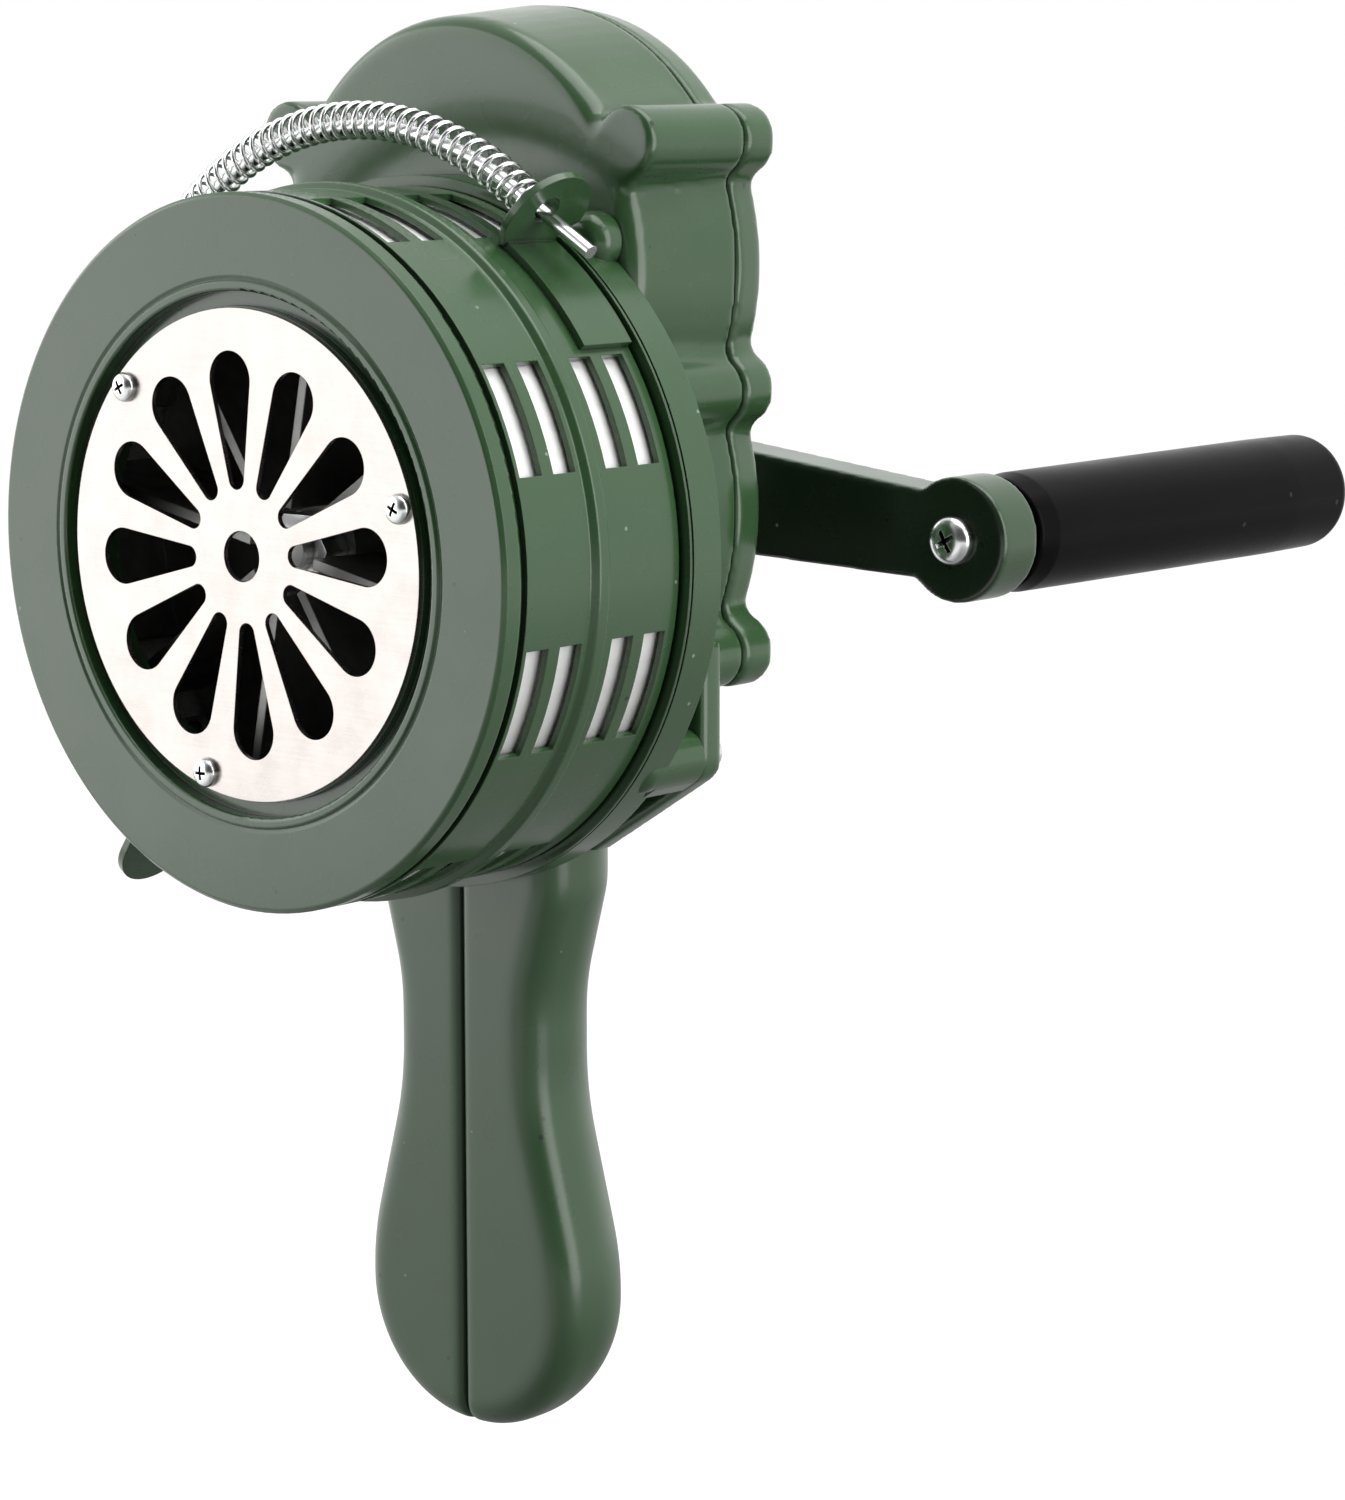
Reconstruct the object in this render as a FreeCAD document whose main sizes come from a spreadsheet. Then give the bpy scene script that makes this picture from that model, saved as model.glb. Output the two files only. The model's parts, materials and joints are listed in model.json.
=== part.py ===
"""Hand crank siren: a hand-held alarm with a chopper rotor, a slotted shutter and a two-stage gearbox.

Frame: millimetres, +Z up, the drum's axis along +Y with the intake face at y = 0 facing -Y,
and the crank's grip to +X.  The origin is the centre of the intake face.
Angles about the drum are measured from +Z towards +X.
"""
import FreeCAD, Part
import math
import os
import re

import Sketcher

Vector = FreeCAD.Vector

SIZES = {
    # front ring and intake grille
    "ring_radius": 66.0,
    "ring_thick": 5.0,
    "ring_chamfer": 0.7,
    "ring_rear_round": 1.1,
    "ring_bore": 48.3,
    "face_setback": 0.2,
    "bead_width": 1.6,
    "bead_groove_width": 1.2,
    "bead_groove_depth": 0.5,
    "moat_depth": 3.0,
    "throat_radius": 40.0,
    "grille_radius": 45.2,
    "grille_thick": 1.0,
    "grille_inset": 0.3,
    "grille_gap": 0.3,
    "grille_turn": -4.2,
    "petal_count": 12,
    "petal_outer": 37.5,
    "petal_inner": 12.2,
    "petal_outer_width": 10.6,
    "petal_inner_width": 4.0,
    "grille_hole": 4.7,
    "grille_screw_circle": 42.3,
    "grille_screw_count": 3,
    "grille_screw_turn": 74.0,
    "grille_screw_length": 5.0,
    # drum, shutter and ports
    "sleeve_radius": 66.0,
    "sleeve_wall": 1.2,
    "sleeve_front_gap": 0.9,
    "sleeve_length": 40.1,
    "running_gap": 0.05,
    "register_length": 1.7,
    "register_lip": 0.75,
    "drum_wall": 2.2,
    "drum_tuck": 1.0,
    "drum_seat": 1.4,
    "rib_height": 1.3,
    "rib_width": 3.6,
    "rib_slope": 1.0,
    "rib_offset": -0.45,
    "port_setback": 19.2,
    "port_groups": 8,
    "port_span": 18.4,
    "port_width": 5.7,
    "port_inner_offset": 6.85,
    "port_outer_offset": 15.5,
    "port_turn": 19.9,
    "shutter_travel": 22.5,
    "stop_radius": 0.8,
    "stop_depth": 2.6,
    "stop_root": 4.0,
    "stop_gap": 0.25,
    # drum flange
    "flange_gap": 0.8,
    "flange_radius": 68.0,
    "flange_thick": 8.8,
    "flange_lip": 0.6,
    "flange_groove": 0.5,
    "flange_web": 4.0,
    "flange_rim": 7.0,
    "hub_radius": 12.0,
    "hub_length": 17.5,
    "bearing_radius": 8.0,
    "bearing_width": 5.0,
    "lug_radius": 5.5,
    "lug_depth": 5.6,
    "lug_dome": 3.0,
    "lug_floor": 0.9,
    "upper_lug_x": 38.4,
    "upper_lug_z": 56.5,
    "lower_lug_x": 49.6,
    "lower_lug_z": -39.8,
    # rotor
    "rotor_gap": 0.8,
    "rotor_rim": 2.3,
    "rotor_disc": 2.5,
    "rotor_hub_radius": 9.0,
    "rotor_hub_length": 16.0,
    "rotor_spacer": 1.5,
    "rotor_inset": 2.5,
    "vane_count": 8,
    "vane_thick": 2.0,
    "shaft_radius": 4.0,
    "nut_flats": 13.0,
    "nut_thick": 6.0,
    "thread_end": 2.0,
    # gear train
    "gear_module": 1.5,
    "crank_teeth": 50,
    "cluster_pinion_teeth": 12,
    "cluster_teeth": 54,
    "rotor_teeth": 14,
    "gear_face": 6.0,
    "gear_wall_gap": 2.5,
    "gear_stage_gap": 4.0,
    "gear_rim": 6.0,
    "gear_hub": 5.0,
    "crank_gear_face": 8.0,
    "backlash": 0.25,
    "crank_shaft_radius": 6.0,
    "shaft_flat": 4.8,
    "thrust_gap": 0.5,
    "bush_wall": 2.2,
    "bush_boss": 3.0,
    # gearbox
    "gear_room": 4.0,
    "case_taper": 5.5,
    "case_depth": 27.1,
    "case_wall": 3.0,
    "case_round": 3.5,
    "cover_round": 1.5,
    "cover_depth": 8.5,
    "boss_radius": 6.8,
    "boss_inset": 4.7,
    "high_boss_rise": 23.6,
    "low_boss_drop": 27.0,
    "cover_hub_radius": 14.0,
    "cover_hub_length": 13.0,
    "skirt_half_width": 54.5,
    "skirt_top": -18.0,
    "skirt_shoulder": -43.3,
    "skirt_round": 5.0,
    "skirt_bottom": -61.4,
    "skirt_toe": 1.4,
    "skirt_gap": 0.3,
    "skirt_thick": 6.0,
    "skirt_setback": 10.5,
    # handle
    "handle_setback": 0.7,
    "handle_depth": 28.0,
    "handle_top": -56.0,
    "handle_bottom": -180.0,
    "collar_half_width": 24.6,
    "collar_length": 14.0,
    "collar_round": 20.0,
    "neck_half_width": 18.9,
    "neck_start": 35.0,
    "neck_end": 56.0,
    "neck_upper_round": 40.0,
    "neck_lower_round": 60.0,
    "bulb_half_width": 27.8,
    "bulb_start": 89.0,
    "bulb_round": 55.0,
    "handle_round": 18.5,
    "handle_edge": 6.0,
    "handle_screw_length": 20.0,
    "handle_screw_high": 12.0,
    "handle_screw_mid": 32.0,
    "handle_screw_low": 94.0,
    "seam_width": 1.7,
    "seam_depth": 1.6,
    "tang_half_width": 7.0,
    "tang_depth": 14.0,
    "tang_length": 38.0,
    # spring rod and brackets
    "rod_radius": 1.35,
    "rod_standoff": 7.13,
    "rod_shift": 6.55,
    "rod_y": 38.5,
    "rod_bend_end": 30.5,
    "rod_tail": 22.9,
    "rod_overhang": 4.0,
    "anchor_angle": -52.6,
    "anchor_round": 5.0,
    "anchor_span": 10.0,
    "bracket_sheet": 1.5,
    "plate_span": 22.2,
    "plate_front_reach": 5.5,
    "plate_edge_gap": 0.2,
    "ear_angle": 32.3,
    "ear_lean": 8.0,
    "ear_radius": 9.5,
    "ear_offset": 1.4,
    "ear_drop": 1.8,
    "ear_waist": 2.5,
    "ear_hole_gap": 0.45,
    "tab_angle": 214.2,
    "tab_front": 3.0,
    "tab_length": 12.0,
    "tab_offset": 1.5,
    "tab_rise": 7.9,
    "tab_radius": 8.9,
    "tab_span": 20.0,
    "spring_radius": 3.7,
    "spring_wire": 1.0,
    "spring_gap": 0.2,
    # crank
    "arm_front_gap": 8.0,
    "arm_thick": 11.0,
    "arm_hub_half": 11.4,
    "arm_tip_half": 8.3,
    "crank_radius": 78.1,
    "crank_rest": 4.0,
    "tip_radius": 12.1,
    "grip_radius": 11.7,
    "grip_length": 110.0,
    "grip_gap": 2.6,
    "spindle_radius": 3.5,
    "grip_recess": 9.0,
    "grip_recess_radius": 6.9,
    "spindle_head_radius": 4.8,
    "spindle_head_height": 3.0,
    "grip_nut_thick": 5.0,
    "washer_thick": 1.5,
    "washer_overhang": 4.5,
    "crank_screw_radius": 3.0,
    "crank_screw_length": 13.0,
    "crank_head_radius": 5.4,
    "crank_head_height": 3.8,
    # fasteners
    "cover_screw_reach": 10.0,
    "screw_radius": 2.0,
    "screw_head_radius": 3.7,
    "screw_head_height": 2.6,
    "small_screw_radius": 1.5,
    "small_head_radius": 2.8,
    "small_head_height": 2.0,
}

DERIVED = {
    "sleeve_front": "ring_thick + sleeve_front_gap",
    "sleeve_rear": "sleeve_front + sleeve_length",
    "flange_front": "sleeve_rear + flange_gap",
    "flange_rear": "flange_front + flange_thick",
    "lug_front": "flange_rear - lug_depth",
    "port_middle": "sleeve_front + port_setback",
    "rib_middle": "port_middle + rib_offset",
    "grille_seat": "grille_inset + grille_thick",
    "sleeve_inner": "sleeve_radius - sleeve_wall",
    "register_radius": "sleeve_inner - running_gap",
    "drum_radius": "register_radius - register_lip",
    "drum_inner": "drum_radius - drum_wall",
    "drum_front": "ring_thick - drum_tuck",
    "drum_rear": "flange_front + drum_seat",
    "rotor_radius": "drum_inner - rotor_gap",
    "hub_front": "flange_rear - hub_length",
    "rotor_rear": "hub_front - rotor_spacer",
    "rotor_front": "sleeve_front + rotor_inset",
    "rotor_hub_front": "rotor_rear - rotor_hub_length",
    "rotor_nut_front": "rotor_hub_front - nut_thick",
    "rod_bend": "sleeve_radius + rod_standoff",
    "rod_reach": "rod_bend + rod_shift",
    "rod_centre_x": "rod_shift * sin(anchor_angle * 1deg)",
    "rod_centre_z": "rod_shift * cos(anchor_angle * 1deg)",
    "rod_near": "rod_bend + rod_shift * cos((rod_bend_end - anchor_angle) * 1deg)",
    "travel_end": "ear_angle - shutter_travel - anchor_angle",
    "rod_far": "rod_shift * cos(travel_end * 1deg) + sqrt(rod_bend ^ 2 - (rod_shift * sin(travel_end * 1deg)) ^ 2)",
    "ear_hole_radius": "rod_radius + (rod_far - rod_near) / 2 + ear_hole_gap",
    "ear_hole_height": "sqrt(((rod_far + rod_near) / 2) ^ 2 - (sleeve_radius * sin(ear_lean * 1deg)) ^ 2)"
                       " - sleeve_radius * cos(ear_lean * 1deg)",
    "ear_centre": "ear_hole_height - ear_drop",
    "ear_middle": "rod_y + ear_offset",
    "ear_facing": "ear_angle + ear_lean",
    "ear_slant": "ear_facing - rod_bend_end",
    "ear_back": "(rod_shift * sin((ear_facing - anchor_angle) * 1deg) + rod_bend * sin(ear_slant * 1deg)"
                " - sleeve_radius * sin(ear_lean * 1deg) - bracket_sheet) / cos(ear_slant * 1deg)",
    "spring_tail": "ear_back - spring_radius * tan(ear_slant) - spring_gap",
    "plate_front": "rod_y - plate_front_reach",
    "plate_rear": "sleeve_rear - plate_edge_gap",
    "tab_plate_front": "sleeve_front + tab_front",
    "tab_plate_rear": "tab_plate_front + tab_length",
    "tab_middle": "(tab_plate_front + tab_plate_rear) / 2 + tab_offset",
    "case_radius": "gear_module * (cluster_teeth + 2) / 2 + gear_room + case_wall",
    "case_rear": "flange_rear + case_depth",
    "case_front_radius": "case_radius - case_depth * tan(case_taper)",
    "cover_rear": "case_rear + cover_depth",
    "cluster_z": "gear_module * (cluster_teeth + rotor_teeth) / 2",
    "crank_z": "cluster_z - gear_module * (crank_teeth + cluster_pinion_teeth) / 2",
    "boss_x": "case_radius - boss_inset",
    "high_boss_z": "cluster_z + high_boss_rise",
    "mid_boss_z": "(cluster_z + crank_z) / 2",
    "low_boss_z": "crank_z - low_boss_drop",
    "gear_front": "flange_rear + case_wall + gear_wall_gap",
    "cluster_gear_rear": "gear_front + gear_face",
    "crank_gear_front": "cluster_gear_rear + gear_stage_gap",
    "crank_gear_rear": "crank_gear_front + crank_gear_face",
    "arm_front": "cover_rear + cover_hub_length + arm_front_gap",
    "arm_rear": "arm_front + arm_thick",
    "arm_hub_front": "cover_rear + cover_hub_length + thrust_gap",
    "handle_front": "flange_rear + handle_setback",
    "handle_rear": "handle_front + handle_depth",
    "skirt_front": "flange_rear + skirt_setback",
    "skirt_rear": "skirt_front + skirt_thick",
    "skirt_neck": "collar_half_width + skirt_gap",
    "skirt_foot": "collar_half_width + skirt_toe",
    "skirt_fall": "(skirt_shoulder - skirt_bottom) / (skirt_half_width - skirt_foot)",
    "lug_foot_z": "skirt_shoulder - skirt_fall * (skirt_half_width - lower_lug_x)",
    "tang_bottom": "handle_top - tang_length",
    "tang_middle": "handle_front + handle_depth / 2",
    "grip_front": "arm_rear + grip_gap",
    "grip_rear": "grip_front + grip_length",
    "shaft_bore": "shaft_radius + running_gap",
    "stop_circle": "register_radius + stop_radius + 2 * running_gap",
    "stop_half_angle": "(stop_radius + stop_gap) / stop_circle * 180 / pi",
    "stop_angle": "port_turn + 180 + 180 / port_groups - shutter_travel / 2",
    "boss_deep": "gear_front - 0.8",
    "lug_seat": "boss_deep - screw_head_height - 0.1",
    "bush_front": "crank_gear_rear + thrust_gap",
}

doc = FreeCAD.newDocument("hand_crank_siren")
sheet = doc.addObject("Spreadsheet::Sheet", "sizes")
parts = []


def fill_sheet():
    """Write each driving size as a plain number and each derived size as a formula, all with aliases."""
    rows = [(name, str(number)) for name, number in SIZES.items()]
    rows += [(name, "=" + re.sub(r"tan\((\w+)\)", r"tan(\1 * 1deg)", text)) for name, text in DERIVED.items()]
    for row, (name, content) in enumerate(rows, start=1):
        sheet.set(f"A{row}", name)
        sheet.set(f"B{row}", content)
        sheet.setAlias(f"B{row}", name)
    doc.recompute()


def bound(text):
    """Turn an expression in size names into one that reads the sheet."""
    return re.sub(r"[a-z]\w*_\w+", lambda found: "sizes." + found.group(0), str(text))


def size(text):
    """Evaluate an expression in size names with the sheet's present numbers."""
    plain = re.sub(r"[a-z]\w*_\w+", lambda found: repr(float(sheet.get(found.group(0)))), str(text))
    total = sheet.evalExpression(plain)
    return float(total)


def new_body(label):
    """Start a body for one sub-part and remember it for export."""
    body = doc.addObject("PartDesign::Body", label)
    body.Label = label
    parts.append(body)
    return body


def put(part, x="0", y="0", z="0", turn=None):
    """Place a sub-part by expressions; turn is degrees about +Y."""
    if turn is not None:
        part.Placement = FreeCAD.Placement(Vector(), FreeCAD.Rotation(Vector(0, 1, 0), 1))
        part.setExpression("Placement.Rotation.Angle", bound(turn))
    for axis, text in zip("xyz", (x, y, z)):
        part.setExpression(f"Placement.Base.{axis}", bound(text))


def new_sketch(body, role, lift="0"):
    """Attach a sketch to one of its body's origin planes, lifted along the plane's normal."""
    sketch = body.newObject("Sketcher::SketchObject", body.Label + "_sketch")
    plane = next(item for item in body.Origin.OriginFeatures if item.Role == role)
    sketch.AttachmentSupport = [(plane, "")]
    sketch.MapMode = "FlatFace"
    sketch.setExpression("AttachmentOffset.Base.z", bound(lift))
    return sketch


def bind(sketch, kind, *geometry, text):
    """Add one dimensional constraint whose value follows an expression."""
    number = size(text)
    index = sketch.addConstraint(Sketcher.Constraint(kind, *geometry, number))
    sketch.setExpression(f"Constraints[{index}]", bound(text))


def draw_circle(sketch, radius, x="0", y="0"):
    """Add a circle with its radius and centre bound."""
    circle = Part.Circle(Vector(size(x), size(y), 0), Vector(0, 0, 1), size(radius))
    index = sketch.addGeometry(circle, False)
    bind(sketch, "Radius", index, text=radius)
    bind(sketch, "DistanceX", -1, 1, index, 3, text=x)
    bind(sketch, "DistanceY", -1, 1, index, 3, text=y)
    return index


def draw_outline(sketch, corners):
    """Add a closed outline; a corner is (x, y) or (x, y, fillet radius), all as expressions."""
    first = sketch.GeometryCount
    count = len(corners)
    points = [Vector(size(corner[0]), size(corner[1]), 0) for corner in corners]
    for index in range(count):
        sketch.addGeometry(Part.LineSegment(points[index], points[(index + 1) % count]), False)
    for index in range(count):
        sketch.addConstraint(Sketcher.Constraint("Coincident", first + index, 2, first + (index + 1) % count, 1))
    for index, corner in enumerate(corners):
        bind(sketch, "DistanceX", -1, 1, first + index, 1, text=corner[0])
        bind(sketch, "DistanceY", -1, 1, first + index, 1, text=corner[1])
    for index, corner in enumerate(corners):
        if len(corner) == 3:
            arc = sketch.GeometryCount
            sketch.fillet(first + index, 1, size(corner[2]), True, True)
            bind(sketch, "Radius", arc, text=corner[2])


def rectangle(left, bottom, right, top):
    """The four corners of an upright rectangle."""
    return [(left, bottom), (right, bottom), (right, top), (left, top)]


def add_feature(body, kind, sketch, **settings):
    """Add one sketch-based feature; plain values are set, and texts are bound to the sheet."""
    feature = body.newObject("PartDesign::" + kind, f"{body.Label}_{kind.lower()}")
    feature.Profile = sketch
    for name, value in settings.items():
        if isinstance(value, str) and name in ("Length", "TaperAngle", "Angle"):
            feature.setExpression(name, bound(value))
        else:
            setattr(feature, name, value)
    return feature


def pad_along_y(body, start, end, draw, kind="Pad"):
    """Pad or pocket a shape drawn in X and Z between two places on the Y axis."""
    sketch = new_sketch(body, "XZ_Plane", f"-({start})")
    draw(sketch)
    feature = add_feature(body, kind, sketch, Length=f"abs(({end}) - ({start}))")
    backwards = size(end) > size(start)
    feature.Reversed = backwards if kind == "Pad" else not backwards
    return feature


def turn_about_y(body, corners, kind="Revolution", angle="360", lean=0, x="0", z="0"):
    """Revolve or groove (radius, y) corners about a line along Y through x and z; lean turns the sketch."""
    sketch = new_sketch(body, "XY_Plane", z)
    sketch.setExpression("AttachmentOffset.Base.x", bound(x))
    if lean:
        sketch.AttachmentOffset = FreeCAD.Placement(Vector(), FreeCAD.Rotation(Vector(0, 1, 0), lean))
    draw_outline(sketch, corners)
    feature = body.newObject("PartDesign::" + kind, f"{body.Label}_{kind.lower()}")
    feature.Profile = sketch
    feature.ReferenceAxis = (sketch, ["V_Axis"])
    feature.setExpression("Angle", bound(angle))
    return feature


def bend_round(body, sketch, angle, backwards=False):
    """Sweep a section drawn in the body's YZ plane round the body's Y axis."""
    bend = body.newObject("PartDesign::Revolution", body.Label + "_bend")
    bend.Profile = sketch
    bend.ReferenceAxis = (sketch, ["H_Axis"])
    bend.Reversed = backwards
    bend.setExpression("Angle", bound(angle))
    return bend


def repeat_about_y(body, features, count, total="360"):
    """Repeat features about the body's own Y axis."""
    pattern = body.newObject("PartDesign::PolarPattern", body.Label + "_pattern")
    pattern.Originals = features
    axis = next(item for item in body.Origin.OriginFeatures if item.Role == "Y_Axis")
    pattern.Axis = (axis, [""])
    pattern.setExpression("Angle", bound(total))
    pattern.setExpression("Occurrences", bound(count))
    body.Tip = pattern
    return pattern


def turned_part(label, corners, x="0", y="0", z="0"):
    """A plain turned piece with its axis along Y."""
    body = new_body(label)
    turn_about_y(body, corners)
    put(body, x, y, z)
    return body


def both_sides(x, z):
    """The two mirrored places of a pair, as expressions."""
    return [(x, z), (f"-({x})", z)]


def cover_screw_places():
    """The six screw axes that join the gearbox's cover to its case."""
    return [place for z in ("high_boss_z", "mid_boss_z", "low_boss_z") for place in both_sides("boss_x", z)]


def lug_places():
    """The four screw axes that join the drum's flange to the gearbox."""
    return both_sides("upper_lug_x", "upper_lug_z") + both_sides("lower_lug_x", "lower_lug_z")


def draw_circles(places, radius):
    """A drawing function for equal circles at several places."""
    def draw(sketch):
        for x, z in places:
            draw_circle(sketch, radius, x, z)
    return draw


# ---------------------------------------------------------------- intake

def make_front_ring():
    """Cast ring: broad flat face, beaded inner edge, grille seat and the shutter's front register."""
    body = new_body("front_ring")
    turn_about_y(body, [
        ("throat_radius", "grille_seat"),
        ("grille_radius + grille_gap", "grille_seat"),
        ("grille_radius + grille_gap", "moat_depth"),
        ("ring_bore", "moat_depth"),
        ("ring_bore", "0", "0.6"),
        ("ring_bore + bead_width", "0", "0.3"),
        ("ring_bore + bead_width + bead_groove_width * 0.4", "bead_groove_depth"),
        ("ring_bore + bead_width + bead_groove_width", "face_setback"),
        ("ring_radius - ring_chamfer", "face_setback", "ring_chamfer"),
        ("ring_radius", "face_setback + ring_chamfer"),
        ("ring_radius", "ring_thick", "ring_rear_round"),
        ("register_radius", "ring_thick"),
        ("register_radius", "ring_thick + register_length"),
        ("drum_radius", "ring_thick + register_length"),
        ("drum_radius", "drum_front"),
        ("drum_inner - 1", "drum_front"),
        ("throat_radius", "ring_thick + 1"),
    ])
    body.Tip = pad_along_y(body, "grille_seat", "grille_seat + grille_screw_length",
                           draw_circles(grille_screw_places(), "small_screw_radius"), "Pocket")


def grille_screw_places():
    """The grille's screw axes, evenly spaced on their circle."""
    count = int(size("grille_screw_count"))
    angles = [f"grille_screw_turn + {index} * 360 / grille_screw_count" for index in range(count)]
    return [polar("grille_screw_circle", angle) for angle in angles]


def polar(radius, angle):
    """X and Z of a point at an angle from +Z towards +X, as expressions."""
    return f"({radius}) * sin(({angle}) * 1deg)", f"({radius}) * cos(({angle}) * 1deg)"


def make_grille():
    """Polished disc with teardrop air slots fanned round a centre hole."""
    body = new_body("intake_grille")
    turn_about_y(body, [
        ("grille_hole", "grille_inset"),
        ("grille_radius", "grille_inset"),
        ("grille_radius", "grille_seat"),
        ("grille_hole", "grille_seat"),
    ])
    petal = pad_along_y(body, "grille_inset", "grille_seat", draw_petal, "Pocket")
    repeat_about_y(body, [petal], "petal_count")
    pad_along_y(body, "grille_inset", "grille_seat",
                draw_circles([turned_back(place) for place in grille_screw_places()], "small_screw_radius + 0.1"),
                "Pocket")
    put(body, turn="grille_turn")


def turned_back(place):
    """A place in the grille's own turned frame."""
    x, z = place
    cosine, sine = "cos(grille_turn * 1deg)", "sin(grille_turn * 1deg)"
    return f"({x}) * {cosine} - ({z}) * {sine}", f"({x}) * {sine} + ({z}) * {cosine}"


def draw_petal(sketch):
    """Teardrop: a large and a small end arc joined by two straight sides tangent to both."""
    big, small = size("petal_outer_width / 2"), size("petal_inner_width / 2")
    top, low = size("petal_outer") - big, size("petal_inner") + small
    lean = math.asin((big - small) / (top - low))
    ends = [(top, big, -lean, math.pi + lean), (low, small, math.pi + lean, 2 * math.pi - lean)]
    for centre, radius, start, stop in ends:
        circle = Part.Circle(Vector(0, centre, 0), Vector(0, 0, 1), radius)
        sketch.addGeometry(Part.ArcOfCircle(circle, start, stop), False)
    big_arc, small_arc = 0, 1
    sides = [(big_arc, 2, small_arc, 1), (small_arc, 2, big_arc, 1)]
    for line, (from_arc, from_end, to_arc, to_end) in enumerate(sides, start=2):
        start, stop = sketch.getPoint(from_arc, from_end), sketch.getPoint(to_arc, to_end)
        sketch.addGeometry(Part.LineSegment(start, stop), False)
        sketch.addConstraint(Sketcher.Constraint("Tangent", from_arc, from_end, line, 1))
        sketch.addConstraint(Sketcher.Constraint("Tangent", line, 2, to_arc, to_end))
    bind(sketch, "Radius", big_arc, text="petal_outer_width / 2")
    bind(sketch, "Radius", small_arc, text="petal_inner_width / 2")
    for arc, height in ((big_arc, "petal_outer - petal_outer_width / 2"),
                        (small_arc, "petal_inner + petal_inner_width / 2")):
        bind(sketch, "DistanceX", -1, 1, arc, 3, text="0")
        bind(sketch, "DistanceY", -1, 1, arc, 3, text=height)


# ---------------------------------------------------------------- drum and shutter

def port_offsets():
    """The four rows of ports, as places along Y."""
    return [f"port_middle {sign} {row}" for row in ("port_outer_offset", "port_inner_offset") for sign in "-+"]


def cut_ports(body, inner, outer):
    """Cut one group of ports by grooving part of a turn, then repeat it round the shell."""
    rows = []
    for middle in port_offsets():
        row = turn_about_y(body, rectangle(inner, f"{middle} - port_width / 2", outer, f"{middle} + port_width / 2"),
                           "Groove", "port_span")
        row.Midplane = True
        rows.append(row)
    repeat_about_y(body, rows, "port_groups")


def make_drum():
    """Bright tube with the stator ports; the shutter's ports stand half a pitch away at rest."""
    body = new_body("stator_drum")
    turn_about_y(body, rectangle("drum_inner", "drum_front", "drum_radius", "drum_rear"))
    cut_ports(body, "drum_inner - 1", "drum_radius + 1")
    put(body, turn="port_turn - 90 + 180 / port_groups")


def make_sleeve():
    """Painted shutter sleeve with a rolled rib and the same pattern of ports."""
    body = new_body("shutter_sleeve")
    foot, crown = "(rib_width + rib_slope) / 2", "(rib_width - rib_slope) / 2"
    turn_about_y(body, [
        ("sleeve_inner", "sleeve_front"),
        ("sleeve_radius", "sleeve_front"),
        ("sleeve_radius", f"rib_middle - {foot}", "0.5"),
        ("sleeve_radius + rib_height", f"rib_middle - {crown}", "0.8"),
        ("sleeve_radius + rib_height", f"rib_middle + {crown}", "0.8"),
        ("sleeve_radius", f"rib_middle + {foot}", "0.5"),
        ("sleeve_radius", "sleeve_rear"),
        ("sleeve_inner", "sleeve_rear"),
    ])
    cut_ports(body, "register_radius - 1", "sleeve_radius + rib_height + 1")
    notch = turn_about_y(body, rectangle("sleeve_inner - 1", "sleeve_rear - stop_depth - 2 * stop_gap",
                                         "sleeve_radius + 1", "sleeve_rear + 1"),
                         "Groove", "shutter_travel + 2 * stop_half_angle", lean=180 + 180 / size("port_groups"))
    notch.Midplane = True
    put(body, turn="port_turn - 90")


def make_stop_pin():
    """Pin in the flange that stands in the sleeve's notch and limits the shutter's turn."""
    x, z = polar("stop_circle", "stop_angle")
    turned_part("stop_pin", [
        ("0", "sleeve_rear - stop_depth"),
        ("stop_radius - 0.3", "sleeve_rear - stop_depth"),
        ("stop_radius", "sleeve_rear - stop_depth + 0.3"),
        ("stop_radius", "flange_front + stop_root"),
        ("0", "flange_front + stop_root"),
    ], x=x, z=z)


def make_flange():
    """Cast back plate of the drum: rim, web, bearing hub, shutter register and four domed screw lugs."""
    body = new_body("drum_flange")
    turn_about_y(body, [
        ("bearing_radius", "hub_front"),
        ("hub_radius - 1", "hub_front"),
        ("hub_radius", "hub_front + 3"),
        ("hub_radius", "flange_rear - flange_web", "2"),
        ("flange_radius - flange_rim", "flange_rear - flange_web", "2"),
        ("flange_radius - flange_rim", "drum_rear"),
        ("drum_radius", "drum_rear"),
        ("drum_radius", "flange_front - register_length"),
        ("register_radius", "flange_front - register_length"),
        ("register_radius", "flange_front"),
        ("flange_radius", "flange_front"),
        ("flange_radius", "flange_front + flange_lip"),
        ("flange_radius - flange_groove", "flange_front + flange_lip"),
        ("flange_radius - flange_groove", "flange_front + flange_lip + flange_groove"),
        ("flange_radius", "flange_front + flange_lip + flange_groove"),
        ("flange_radius", "flange_rear"),
        ("bearing_radius", "flange_rear"),
    ])
    for places, rear in ((lug_places()[:2], "flange_rear"), (lug_places()[2:], "skirt_front")):
        for x, z in places:
            turn_about_y(body, [("0", "lug_front"), ("lug_radius", "lug_front", "lug_dome"), ("lug_radius", rear),
                                ("0", rear)], x=x, z=z)
    pad_along_y(body, "flange_rear - 1", "skirt_front", draw_lug_feet)
    pad_along_y(body, "skirt_front", "lug_front + lug_floor", draw_circles(lug_places(), "screw_radius"), "Pocket")
    body.Tip = pad_along_y(body, "flange_front", "flange_front + stop_root",
                           draw_circles([polar("stop_circle", "stop_angle")], "stop_radius"), "Pocket")


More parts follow.
